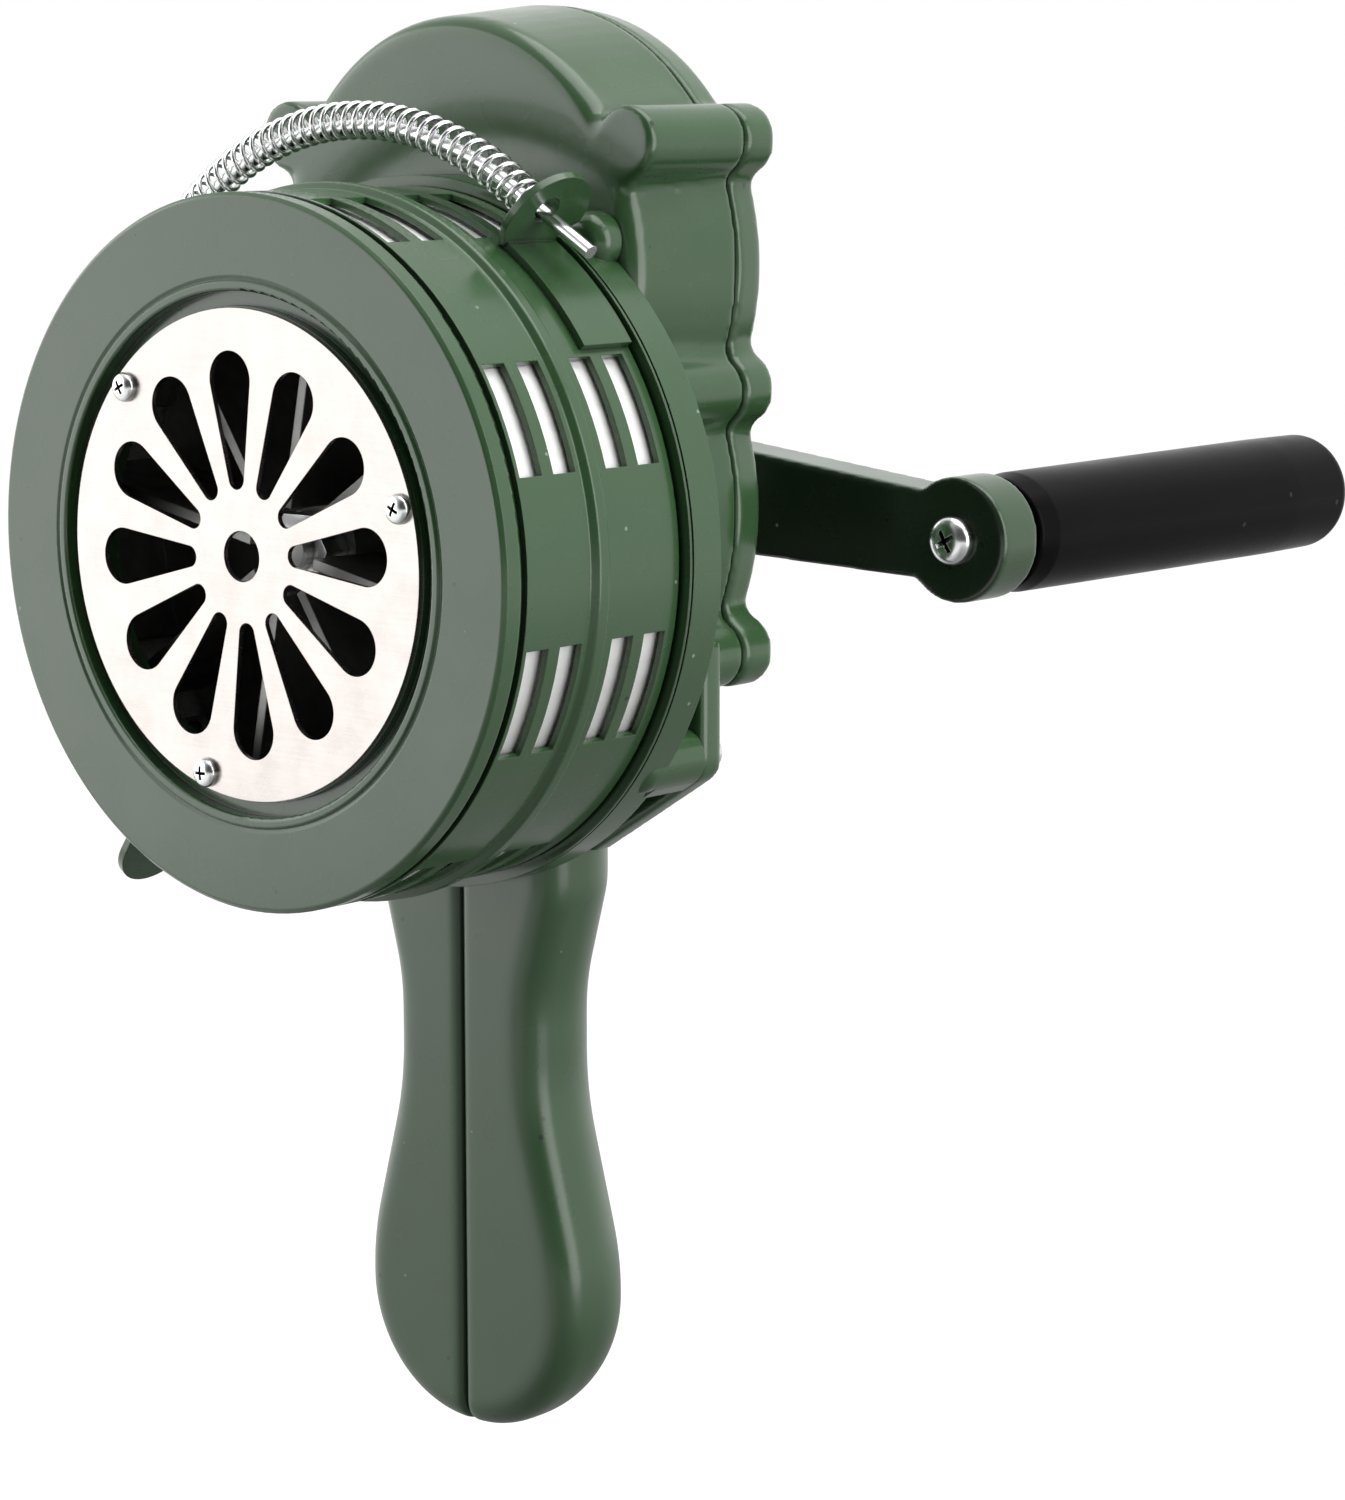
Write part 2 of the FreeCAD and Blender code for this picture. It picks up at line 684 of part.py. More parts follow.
def draw_lug_feet(sketch):
    """Webs under the lower lugs, flush with the skirt's sides, corners and slopes."""
    for sign in ("", "-"):
        draw_outline(sketch, [
            (f"{sign}(lower_lug_x)", "lower_lug_z"),
            (f"{sign}(skirt_half_width)", "lower_lug_z"),
            (f"{sign}(skirt_half_width)", "skirt_shoulder", "skirt_round"),
            (f"{sign}(lower_lug_x)", "lug_foot_z"),
        ])


def add_foot(body, front, rear, radius, span, backwards=False):
    """Curve a sheet foot round the drum, starting at the body's own YZ plane."""
    section = new_sketch(body, "YZ_Plane")
    draw_outline(section, rectangle(front, radius, rear, f"{radius} + bracket_sheet"))
    bend_round(body, section, span, backwards)


def ear_sketch(body, lean="0"):
    """A sketch that stands on the sleeve in the body's YZ plane and leans towards the body's +X side."""
    sketch = new_sketch(body, "YZ_Plane")
    sketch.AttachmentOffset = FreeCAD.Placement(Vector(), FreeCAD.Rotation(Vector(1, 0, 0), 1))
    sketch.setExpression("AttachmentOffset.Rotation.Angle", bound(lean))
    sketch.setExpression("AttachmentOffset.Base.y", bound("sleeve_radius"))
    return sketch


def draw_ear(sketch, front, rear, middle, centre, radius):
    """Outline of an ear: sides that widen from its foot to a round top."""
    left, right, top = f"{middle} - {radius}", f"{middle} + {radius}", f"{centre} + {radius}"
    draw_outline(sketch, [
        (front, "0"),
        (left, f"{centre} - ear_waist", "5"),
        (left, top, f"{radius} - 0.1"),
        (right, top, f"{radius} - 0.1"),
        (right, f"{centre} - ear_waist / 2"),
        (rear, "2 * bracket_sheet"),
        (rear, "0"),
    ])


def make_shutter_bracket():
    """Bent sheet bracket on the sleeve: a curved foot and a leaning ear with an oversized hole for the rod."""
    body = new_body("shutter_bracket")
    add_foot(body, "plate_front", "plate_rear", "sleeve_radius", "plate_span")
    ear = ear_sketch(body, "ear_lean")
    draw_ear(ear, "plate_front", "plate_rear", "ear_middle", "ear_centre", "ear_radius")
    draw_circle(ear, "ear_hole_radius", "rod_y", "ear_hole_height")
    add_feature(body, "Pad", ear, Length="bracket_sheet", Reversed=True)
    put(body, turn="ear_angle")


def make_finger_tab():
    """Second bent sheet bracket, by which a finger turns the sleeve."""
    body = new_body("finger_tab")
    add_foot(body, "tab_plate_front", "tab_plate_rear", "sleeve_radius", "tab_span")
    ear = ear_sketch(body)
    draw_ear(ear, "tab_plate_front", "tab_plate_rear", "tab_middle", "tab_rise", "tab_radius")
    add_feature(body, "Pad", ear, Length="bracket_sheet")
    put(body, turn="tab_angle")


def make_anchor():
    """Fixed bracket on the flange's rim that holds the rod's far end."""
    body = new_body("rod_anchor")
    front, rear = "flange_front + 1", "flange_rear - 0.5"
    add_foot(body, front, rear, "flange_radius", "anchor_span", backwards=True)
    ear = new_sketch(body, "YZ_Plane")
    draw_outline(ear, [
        (front, "flange_radius"),
        (rear, "flange_radius"),
        (rear, "rod_reach - 3"),
        ("rod_y + anchor_round + 1", "rod_reach + anchor_round", "anchor_round"),
        ("rod_y - anchor_round - 0.5", "rod_reach + anchor_round", "anchor_round - 0.5"),
        ("rod_y - anchor_round - 0.5", "rod_reach - anchor_round", "anchor_round - 0.5"),
        (front, "rod_reach - anchor_round - 1", "2"),
    ])
    draw_circle(ear, "rod_radius + running_gap", "rod_y", "rod_reach")
    add_feature(body, "Pad", ear, Length="bracket_sheet", Reversed=True)
    put(body, turn="anchor_angle")


def make_rod():
    """Guide rod: bent round the drum from its anchor, and straight where it passes the shutter's ear."""
    body = new_body("guide_rod")
    section = new_sketch(body, "YZ_Plane")
    draw_circle(section, "rod_radius", "rod_y", "rod_bend")
    bend_round(body, section, "rod_bend_end - anchor_angle + rod_overhang", backwards=True)
    tail = new_sketch(body, "YZ_Plane")
    draw_circle(tail, "rod_radius", "rod_y", "rod_bend")
    add_feature(body, "Pad", tail, Length="rod_tail")
    put(body, x="rod_centre_x", z="rod_centre_z", turn="rod_bend_end")


def make_rod_nut():
    """Nut that clamps the rod's far end against the anchor."""
    body = new_body("rod_nut")
    sketch = new_sketch(body, "YZ_Plane", "-bracket_sheet")
    draw_hexagon(sketch, "rod_radius * 2.1", "rod_y", "rod_reach")
    draw_circle(sketch, "rod_radius + 0.2", "rod_y", "rod_reach")
    add_feature(body, "Pad", sketch, Length="rod_radius * 1.6", Reversed=True)
    put(body, turn="anchor_angle")


def draw_hexagon(sketch, apothem, x="0", y="0"):
    """Regular hexagon given by half its width across flats."""
    corners = []
    for index in range(6):
        angle = f"{30 + 60 * index} * 1deg"
        reach = f"({apothem}) / cos(30 * 1deg)"
        corners.append((f"{x} + {reach} * sin({angle})", f"{y} + {reach} * cos({angle})"))
    draw_outline(sketch, corners)


def make_spring():
    """Compression spring round the rod, from the anchor to the ear, as the tube that its coils sweep."""
    body = new_body("shutter_spring")
    for tail in (False, True):
        section = new_sketch(body, "YZ_Plane")
        draw_circle(section, "spring_radius", "rod_y", "rod_bend")
        draw_circle(section, "spring_radius - spring_wire", "rod_y", "rod_bend")
        if tail:
            add_feature(body, "Pad", section, Length="spring_tail")
        else:
            bend_round(body, section, "rod_bend_end - anchor_angle - spring_gap", backwards=True)
    put(body, x="rod_centre_x", z="rod_centre_z", turn="rod_bend_end")


# ---------------------------------------------------------------- rotor

def make_rotor():
    """Chopper rotor: disc, hub, radial vanes and a rim cut into one land per vane."""
    body = new_body("rotor")
    turn_about_y(body, [
        ("shaft_radius", "rotor_hub_front"),
        ("rotor_hub_radius", "rotor_hub_front"),
        ("rotor_hub_radius", "rotor_rear - rotor_disc", "2"),
        ("rotor_radius - rotor_rim", "rotor_rear - rotor_disc"),
        ("rotor_radius - rotor_rim", "rotor_front"),
        ("rotor_radius", "rotor_front"),
        ("rotor_radius", "flange_front - 3"),
        ("rotor_radius - rotor_rim", "flange_front - 3"),
        ("rotor_radius - rotor_rim", "rotor_rear"),
        ("shaft_radius", "rotor_rear"),
    ])
    vane = pad_along_y(body, "rotor_rear - rotor_disc / 2", "rotor_front + 2", lambda sketch: draw_outline(
        sketch, rectangle("-vane_thick / 2", "rotor_hub_radius - 0.6", "vane_thick / 2",
                          "rotor_radius - rotor_rim / 2")))
    repeat_about_y(body, [vane], "vane_count")
    window = turn_about_y(body, rectangle("rotor_radius - rotor_rim - 0.5", "rotor_front + 2", "rotor_radius + 1",
                                          "rotor_rear - rotor_disc"), "Groove", "180 / vane_count")
    window.Midplane = True
    repeat_about_y(body, [window], "vane_count")
    put(body, turn="90 / vane_count")


def make_rotor_shaft():
    """Stepped shaft that carries the rotor and its pinion."""
    turned_part("rotor_shaft", [
        ("0", "rotor_nut_front - thread_end"),
        ("shaft_radius - 0.6", "rotor_nut_front - thread_end"),
        ("shaft_radius", "rotor_nut_front - thread_end + 0.6"),
        ("shaft_radius", "rotor_rear"),
        ("shaft_radius + 1.4", "rotor_rear"),
        ("shaft_radius + 1.4", "hub_front"),
        ("shaft_radius", "hub_front"),
        ("shaft_radius", "cluster_gear_rear + 0.7"),
        ("shaft_radius - 0.5", "cluster_gear_rear + 1.2"),
        ("0", "cluster_gear_rear + 1.2"),
    ])


def make_rotor_nut():
    """Hexagon nut that holds the rotor on its shaft."""
    body = new_body("rotor_nut")

    def draw(sketch):
        draw_hexagon(sketch, "nut_flats / 2")
        draw_circle(sketch, "shaft_radius")
    pad_along_y(body, "rotor_hub_front", "rotor_nut_front", draw)


def make_bearing(label, front):
    """Ball bearing drawn as one ring with its two shallow shield grooves."""
    rear = f"{front} + bearing_width"
    turned_part(label, [
        ("shaft_bore", front),
        ("shaft_bore + 1.1", front),
        ("shaft_bore + 1.4", f"{front} + 0.4"),
        ("bearing_radius - 1.4", f"{front} + 0.4"),
        ("bearing_radius - 1.1", front),
        ("bearing_radius", front),
        ("bearing_radius", rear),
        ("bearing_radius - 1.1", rear),
        ("bearing_radius - 1.4", f"{rear} - 0.4"),
        ("shaft_bore + 1.4", f"{rear} - 0.4"),
        ("shaft_bore + 1.1", rear),
        ("shaft_bore", rear),
    ])


# ---------------------------------------------------------------- gear train

PRESSURE_ANGLE = math.radians(25)
FLANK_STEPS = 3


def tooth_half_angle(radius, teeth):
    """Half the angle that an involute tooth spans at a radius, thinned by the backlash."""
    pitch = size("gear_module") * teeth / 2
    base = pitch * math.cos(PRESSURE_ANGLE)
    at_pitch = math.pi / (2 * teeth) - size("backlash") / (4 * pitch)
    involute = math.tan(PRESSURE_ANGLE) - PRESSURE_ANGLE
    if radius <= base:
        return at_pitch + involute
    lean = math.acos(base / radius)
    return at_pitch + involute - (math.tan(lean) - lean)


def gear_outline(teeth, turn):
    """Closed wire of a spur gear; turn is the first tooth's angle from +Z in degrees."""
    module = size("gear_module")
    pitch = module * teeth / 2
    root, tip = pitch - 1.25 * module, pitch + module
    low = max(root, pitch * math.cos(PRESSURE_ANGLE))
    radii = [low + (tip - low) * step / FLANK_STEPS for step in range(FLANK_STEPS + 1)]
    if root < low:
        radii.insert(0, root)
    points = []
    for tooth in range(teeth):
        middle = math.radians(turn) + 2 * math.pi * tooth / teeth
        left = [(radius, middle - tooth_half_angle(radius, teeth)) for radius in radii]
        right = [(radius, middle + tooth_half_angle(radius, teeth)) for radius in reversed(radii)]
        points += [Vector(radius * math.sin(angle), 0, radius * math.cos(angle)) for radius, angle in left + right]
    return Part.makePolygon(points + points[:1])


def make_gear(label, teeth, front, rear, bore, z, turn=0.0, web=None):
    """Spur gear about the Y axis, with a bore and, on a large gear, a thinner web between rim and hub."""
    start, width = size(front), size(f"({rear}) - ({front})")
    blank = Part.Face(gear_outline(teeth, turn)).extrude(Vector(0, width, 0))
    blank = blank.cut(Part.makeCylinder(size(bore), width, Vector(), Vector(0, 1, 0)))
    if web is not None:
        inner, outer = size(web[0]), size(web[1])
        recess = Part.makeCylinder(outer, width / 4, Vector(), Vector(0, 1, 0))
        recess = recess.cut(Part.makeCylinder(inner, width / 4, Vector(), Vector(0, 1, 0)))
        for shift in (0, width * 3 / 4):
            blank = blank.cut(recess.translated(Vector(0, shift, 0)))
    gear = doc.addObject("Part::Feature", label)
    gear.Label = label
    gear.Shape = blank
    gear.Placement = FreeCAD.Placement(Vector(0, start, size(z)), FreeCAD.Rotation())
    parts.append(gear)


def make_gears():
    """Two stages: crank gear to cluster pinion, cluster gear to rotor pinion."""
    crank, pinion = int(size("crank_teeth")), int(size("cluster_pinion_teeth"))
    cluster, rotor = int(size("cluster_teeth")), int(size("rotor_teeth"))
    low_tooth = 180.0
    make_gear("crank_gear", crank, "crank_gear_front", "crank_gear_rear", "crank_shaft_radius", "crank_z",
              web=("crank_shaft_radius + gear_hub", "gear_module * crank_teeth / 2 - gear_rim"))
    make_gear("cluster_pinion", pinion, "crank_gear_front - 1", "crank_gear_rear + 1", "shaft_radius", "cluster_z",
              turn=low_tooth + 180 / pinion)
    make_gear("cluster_gear", cluster, "gear_front", "cluster_gear_rear", "shaft_radius", "cluster_z",
              turn=low_tooth, web=("shaft_radius + gear_hub", "gear_module * cluster_teeth / 2 - gear_rim"))
    make_gear("rotor_pinion", rotor, "gear_front - 1", "cluster_gear_rear + 0.5", "shaft_radius", "0",
              turn=180 / rotor)


def make_cluster_shaft():
    """Layshaft with a spacer collar between its gear and its pinion."""
    turned_part("cluster_shaft", [
        ("0", "flange_rear + 0.5"),
        ("shaft_radius", "flange_rear + 0.5"),
        ("shaft_radius", "cluster_gear_rear"),
        ("shaft_radius + 1.5", "cluster_gear_rear"),
        ("shaft_radius + 1.5", "crank_gear_front - 1"),
        ("shaft_radius", "crank_gear_front - 1"),
        ("shaft_radius", "cover_rear - case_wall - 0.3"),
        ("0", "cover_rear - case_wall - 0.3"),
    ], z="cluster_z")


def make_crank_shaft():
    """Input shaft with a head that keeps the crank gear and a reduced seat for the arm."""
    body = new_body("crank_shaft")
    turn_about_y(body, [
        ("0", "crank_gear_front - 2"),
        ("crank_shaft_radius + 2", "crank_gear_front - 2"),
        ("crank_shaft_radius + 2", "crank_gear_front"),
        ("crank_shaft_radius", "crank_gear_front"),
        ("crank_shaft_radius", "arm_rear - 0.2"),
        ("crank_screw_radius", "arm_rear - 0.2"),
        ("crank_screw_radius", "arm_rear - crank_screw_length - 1"),
        ("0", "arm_rear - crank_screw_length - 1"),
    ])
    body.Tip = pad_along_y(body, "arm_hub_front", "arm_rear", draw_flat, "Pocket")
    put(body, z="crank_z", turn="crank_rest")


def draw_flat(sketch):
    """The segment beyond the flat by which the arm drives the shaft."""
    draw_outline(sketch, rectangle("-crank_shaft_radius", "shaft_flat", "crank_shaft_radius",
                                   "crank_shaft_radius + 0.5"))


def make_bush(label, bore, front, rear, z):
    """Plain bronze bush."""
    inner = f"{bore} + running_gap"
    turned_part(label, rectangle(inner, front, f"{inner} + bush_wall", rear), z=z)


# ---------------------------------------------------------------- gearbox

def add_lobes(body, corners, kind="Revolution"):
    """Turn one outline about both gear axes, which makes or hollows the gearbox's two lobes."""
    for height in ("cluster_z", "crank_z"):
        turn_about_y(body, corners, kind, z=height)


def draw_skirt(sketch):
    """Lower plate of the case: straight sides and slopes that run in to the handle's collar."""
    draw_outline(sketch, [
        ("-skirt_half_width", "skirt_top"),
        ("-skirt_half_width", "skirt_shoulder", "skirt_round"),
        ("-skirt_foot", "skirt_bottom", "1.5"),
        ("-skirt_neck", "skirt_bottom"),
        ("-skirt_neck", "handle_top"),
        ("skirt_neck", "handle_top"),
        ("skirt_neck", "skirt_bottom"),
        ("skirt_foot", "skirt_bottom", "1.5"),
        ("skirt_half_width", "skirt_shoulder", "skirt_round"),
        ("skirt_half_width", "skirt_top"),
    ])


def make_case():
    """Cast gearbox case: drafted two-lobe shell, screw bosses, skirt plate and handle tang."""
    body = new_body("gearbox_case")
    add_lobes(body, [
        ("0", "flange_rear"),
        ("case_front_radius", "flange_rear", "case_round"),
        ("case_radius", "case_rear"),
        ("0", "case_rear"),
    ])
    pad_along_y(body, "flange_rear", "case_rear", draw_circles(both_sides("boss_x", "high_boss_z"), "boss_radius"))
    pad_along_y(body, "flange_rear + 6", "case_rear", draw_circles(cover_screw_places()[2:], "boss_radius - 0.3"))
    pad_along_y(body, "skirt_front", "skirt_rear", draw_skirt)
    add_lobes(body, [
        ("0", "flange_rear + case_wall"),
        ("case_front_radius - case_wall", "flange_rear + case_wall", "case_wall"),
        ("case_radius - case_wall", "case_rear + 1"),
        ("0", "case_rear + 1"),
    ], "Groove")
    pad_along_y(body, "flange_rear", "boss_deep", draw_circles(lug_places()[:2], "lug_radius"))
    pad_along_y(body, "flange_rear + case_wall", "boss_deep",
                draw_circles([("0", "cluster_z")], "shaft_radius + bush_wall + bush_boss"))
    pad_along_y(body, "tang_middle - tang_depth / 2", "tang_middle + tang_depth / 2", draw_tang)
    pad_along_y(body, "flange_rear", "flange_rear + case_wall", draw_circles([("0", "0")], "bearing_radius + 2"),
                "Pocket")
    pad_along_y(body, "flange_rear", "boss_deep", draw_circles([("0", "cluster_z")], "shaft_bore + bush_wall"),
                "Pocket")
    pad_along_y(body, "case_rear", "case_rear - cover_screw_reach - 2",
                draw_circles(cover_screw_places(), "screw_radius"), "Pocket")
    pad_along_y(body, "flange_rear", "boss_deep", draw_circles(lug_places()[:2], "screw_radius"), "Pocket")
    pad_along_y(body, "lug_seat", "boss_deep", draw_circles(lug_places()[:2], "screw_head_radius + 0.3"), "Pocket")
    pad_along_y(body, "skirt_front", "skirt_rear", draw_circles(lug_places()[2:], "screw_radius"), "Pocket")
    body.Tip = pocket_along_x(body, "-tang_half_width", "tang_half_width", HANDLE_SCREW_HEIGHTS[:2], "screw_radius")


HANDLE_SCREW_HEIGHTS = ["handle_top - handle_screw_high", "handle_top - handle_screw_mid",
                        "handle_top - handle_screw_low"]


def pocket_along_x(body, start, end, heights, radius):
    """Cut round holes along X at the handle screws' depth."""
    sketch = new_sketch(body, "YZ_Plane", start)
    for height in heights:
        draw_circle(sketch, radius, "tang_middle", height)
    return add_feature(body, "Pocket", sketch, Length=f"abs(({end}) - ({start}))", Reversed=True)


def draw_tang(sketch):
    """Tang that the two handle halves clamp, hanging from the case's floor."""
    draw_outline(sketch, rectangle("-tang_half_width", "tang_bottom", "tang_half_width",
                                   "crank_z - case_front_radius + case_wall"))


def make_cover():
    """Cast cover: two-lobe dish with six screw bosses and the crank's bearing hub."""
    body = new_body("gearbox_cover")
    add_lobes(body, [
        ("0", "case_rear"),
        ("case_radius", "case_rear"),
        ("case_radius - 1", "cover_rear", "cover_round"),
        ("0", "cover_rear"),
    ])
    pad_along_y(body, "case_rear", "cover_rear", draw_circles(cover_screw_places(), "boss_radius"))
    add_lobes(body, rectangle("0", "case_rear - 1", "case_radius - case_wall", "cover_rear - case_wall"), "Groove")
    pad_along_y(body, "cover_rear", "cover_rear + cover_hub_length",
                draw_circles([("0", "crank_z")], "cover_hub_radius"))
    pad_along_y(body, "cover_rear - case_wall", "bush_front",
                draw_circles([("0", "crank_z")], "crank_shaft_radius + bush_wall + bush_boss"))
    pad_along_y(body, "cover_rear - case_wall", "crank_gear_rear + 2",
                draw_circles([("0", "cluster_z")], "shaft_radius + bush_wall + bush_boss"))
    pad_along_y(body, "bush_front", "cover_rear + cover_hub_length",
                draw_circles([("0", "crank_z")], "crank_shaft_radius + running_gap + bush_wall"), "Pocket")
    pad_along_y(body, "bush_front", "cover_rear - case_wall",
                draw_circles([("0", "cluster_z")], "shaft_bore + bush_wall"), "Pocket")
    body.Tip = pad_along_y(body, "case_rear", "cover_rear + 1",
                           draw_circles(cover_screw_places(), "screw_radius"), "Pocket")


# ---------------------------------------------------------------- handle

def handle_corners(sign):
    """Half of the handle's outline, from the seam round the outside and back; sign is + or -."""
    def across(text):
        return text if sign > 0 else f"-({text})"
    return [
        ("0", "handle_top"),
        (across("collar_half_width"), "handle_top"),
        (across("collar_half_width"), "handle_top - collar_length", "collar_round"),
        (across("neck_half_width"), "handle_top - neck_start", "neck_upper_round"),
        (across("neck_half_width"), "handle_top - neck_end", "neck_lower_round"),
        (across("bulb_half_width"), "handle_top - bulb_start", "bulb_round"),
        (across("bulb_half_width"), "handle_bottom", "bulb_half_width - 1"),
        ("0", "handle_bottom"),
    ]


def make_handle_half(label, sign):
    """One half of the handle: flat front, round back, a rebate along the seam and the tang's pocket."""
    body = new_body(label)
    shell = pad_along_y(body, "handle_front", "handle_rear",
                        lambda sketch: draw_outline(sketch, handle_corners(sign)))
    doc.recompute()
    rear, front = size("handle_rear"), size("handle_front")
    round_edges(body, shell, "handle_round", lambda box: box.YMin > rear - 0.01 and outside_seam(box))
    base = body.Tip
    doc.recompute()
    round_edges(body, base, "handle_edge", lambda box: box.YMax < front + 0.01 and outside_seam(box))

    def across(text):
        return text if sign > 0 else f"-({text})"

    def draw_rebate(sketch):
        draw_outline(sketch, [("0", "handle_top"), (across("seam_width / 2"), "handle_top"),
                              (across("seam_width / 2"), "handle_bottom"), ("0", "handle_bottom")])

    def draw_pocket(sketch):
        draw_outline(sketch, [("0", "handle_top"), (across("tang_half_width"), "handle_top"),
                              (across("tang_half_width"), "tang_bottom"), ("0", "tang_bottom")])
    pad_along_y(body, "handle_front", "handle_front + seam_depth", draw_rebate, "Pocket")
    pad_along_y(body, "tang_middle - tang_depth / 2", "tang_middle + tang_depth / 2", draw_pocket, "Pocket")
    inner = "handle_screw_length / 2"
    holes = pocket_along_x(body, f"-({inner})", inner, HANDLE_SCREW_HEIGHTS, "screw_radius")
    body.Tip = holes
    if sign < 0:
        body.Tip = pocket_along_x(body, "-(bulb_half_width + 1)", f"-({inner})", HANDLE_SCREW_HEIGHTS,
                                  "screw_head_radius + 0.3")


def outside_seam(box):
    """True for an edge that doesn't lie in the seam's plane or along the top."""
    along_seam = box.XLength < 0.01 and abs(box.XMin) < 0.01
    along_top = box.ZLength < 0.01 and box.ZMin > size("handle_top") - 0.01
    return not along_seam and not along_top


def round_edges(body, base, radius, chosen):
    """Fillet the edges of a feature that pass a test of their bounding box."""
    names = [f"Edge{index}" for index, edge in enumerate(base.Shape.Edges, start=1) if chosen(edge.BoundBox)]
    fillet = body.newObject("PartDesign::Fillet", body.Label + "_fillet")
    fillet.Base = (base, names)
    fillet.setExpression("Radius", bound(radius))
    body.Tip = fillet
    return fillet


# ---------------------------------------------------------------- crank

def make_arm():
    """Cast crank arm: hub, tapering bar and round boss at its tip."""
    body = new_body("crank_arm")
    pad_along_y(body, "arm_front", "arm_rear", lambda sketch: draw_outline(sketch, [
        ("0", "-arm_hub_half"),
        ("crank_radius", "-arm_tip_half"),
        ("crank_radius", "arm_tip_half"),
        ("0", "arm_hub_half"),
    ]))
    pad_along_y(body, "arm_hub_front", "arm_rear", draw_circles([("0", "0")], "arm_hub_half + 1.6"))
    pad_along_y(body, "arm_front", "arm_rear", draw_circles([("crank_radius", "0")], "tip_radius"))
    pad_along_y(body, "arm_hub_front", "arm_rear", draw_circles([("0", "0")], "crank_shaft_radius"), "Pocket")
    pad_along_y(body, "arm_hub_front", "arm_rear", draw_flat)
    body.Tip = pad_along_y(body, "arm_front", "arm_rear", draw_circles([("crank_radius", "0")], "spindle_radius"),
                           "Pocket")
    put(body, z="crank_z", turn="crank_rest")


GRIP_X = "crank_radius * cos(crank_rest * 1deg)"
GRIP_Z = "crank_z - crank_radius * sin(crank_rest * 1deg)"


def make_spindle():
    """Headed axle bolt: domed head on the arm's front, shank through the arm and the grip."""
    turned_part("grip_spindle", [
        ("0", "arm_front - spindle_head_height"),
        ("spindle_head_radius * 0.55", "arm_front - spindle_head_height * 0.9"),
        ("spindle_head_radius * 0.9", "arm_front - spindle_head_height / 2"),
        ("spindle_head_radius", "arm_front"),
        ("spindle_radius", "arm_front"),
        ("spindle_radius", "grip_rear - grip_recess"),
        ("spindle_radius - 0.5", "grip_rear - grip_recess"),
        ("spindle_radius - 0.5", "grip_rear - grip_recess + grip_nut_thick + 1"),
        ("0", "grip_rear - grip_recess + grip_nut_thick + 1"),
    ], x=GRIP_X, z=GRIP_Z)


def make_grip():
    """Turning grip: moulded sleeve with a shouldered near end and a rounded, recessed far end."""
    turned_part("grip", [
        ("spindle_radius + running_gap", "grip_front"),
        ("grip_radius - 0.8", "grip_front", "1"),
        ("grip_radius", "grip_front + 5", "4"),
        ("grip_radius + 0.4", "grip_rear - 20", "30"),
        ("grip_radius + 0.2", "grip_rear", "3.5"),
        ("grip_recess_radius", "grip_rear"),
        ("grip_recess_radius", "grip_rear - grip_recess - 0.3"),
        ("spindle_radius + running_gap", "grip_rear - grip_recess - 0.3"),
    ], x=GRIP_X, z=GRIP_Z)


def make_grip_washer():
    """Washer between the arm's boss and the grip."""
    turned_part("grip_washer", rectangle("spindle_radius", "arm_rear", "grip_radius - 3", "grip_front - 0.1"),
                x=GRIP_X, z=GRIP_Z)


def make_grip_nut():
    """Lock nut in the grip's recess, tight against the axle's shoulder."""
    body = new_body("grip_nut")

    def draw(sketch):
        draw_hexagon(sketch, "spindle_radius + 1.5")
        draw_circle(sketch, "spindle_radius - 0.5")
    pad_along_y(body, "grip_rear - grip_recess", "grip_rear - grip_recess + grip_nut_thick", draw)
    put(body, GRIP_X, "0", GRIP_Z)


def make_crank_washer():
    """Washer under the head of the screw that holds the arm on its shaft."""
    turned_part("crank_washer", rectangle("crank_screw_radius", "arm_rear", "crank_screw_radius + washer_overhang",
                                          "arm_rear + washer_thick"), z="crank_z")


# ---------------------------------------------------------------- fasteners

def pan_screw(radius, head_radius, head_height, length):
    """A pan head screw seated at the origin, its head along -Y and its shank along +Y."""
    radius, head_radius, head_height, length = [size(text) for text in (radius, head_radius, head_height, length)]
    shank = Part.makeCylinder(radius, length, Vector(), Vector(0, 1, 0))
    head = Part.makeCylinder(head_radius, head_height, Vector(), Vector(0, -1, 0))
    rim = [edge for edge in head.Edges if edge.BoundBox.YMax < 0.01 - head_height]
    return shank.fuse(head.makeFillet(head_height * 0.55, rim)).removeSplitter()


def make_screws(label, places, seat, screw, turn=0):
    """A set of equal screws in one node; turn is their direction about +Z, 0 with the heads to the front."""
    screw.rotate(Vector(), Vector(0, 0, 1), turn)
    copies = [screw.translated(Vector(size(x), size(seat), size(z))) for x, z in places]
    group = doc.addObject("Part::Feature", label)
    group.Label = label
    group.Shape = Part.makeCompound(copies)
    parts.append(group)


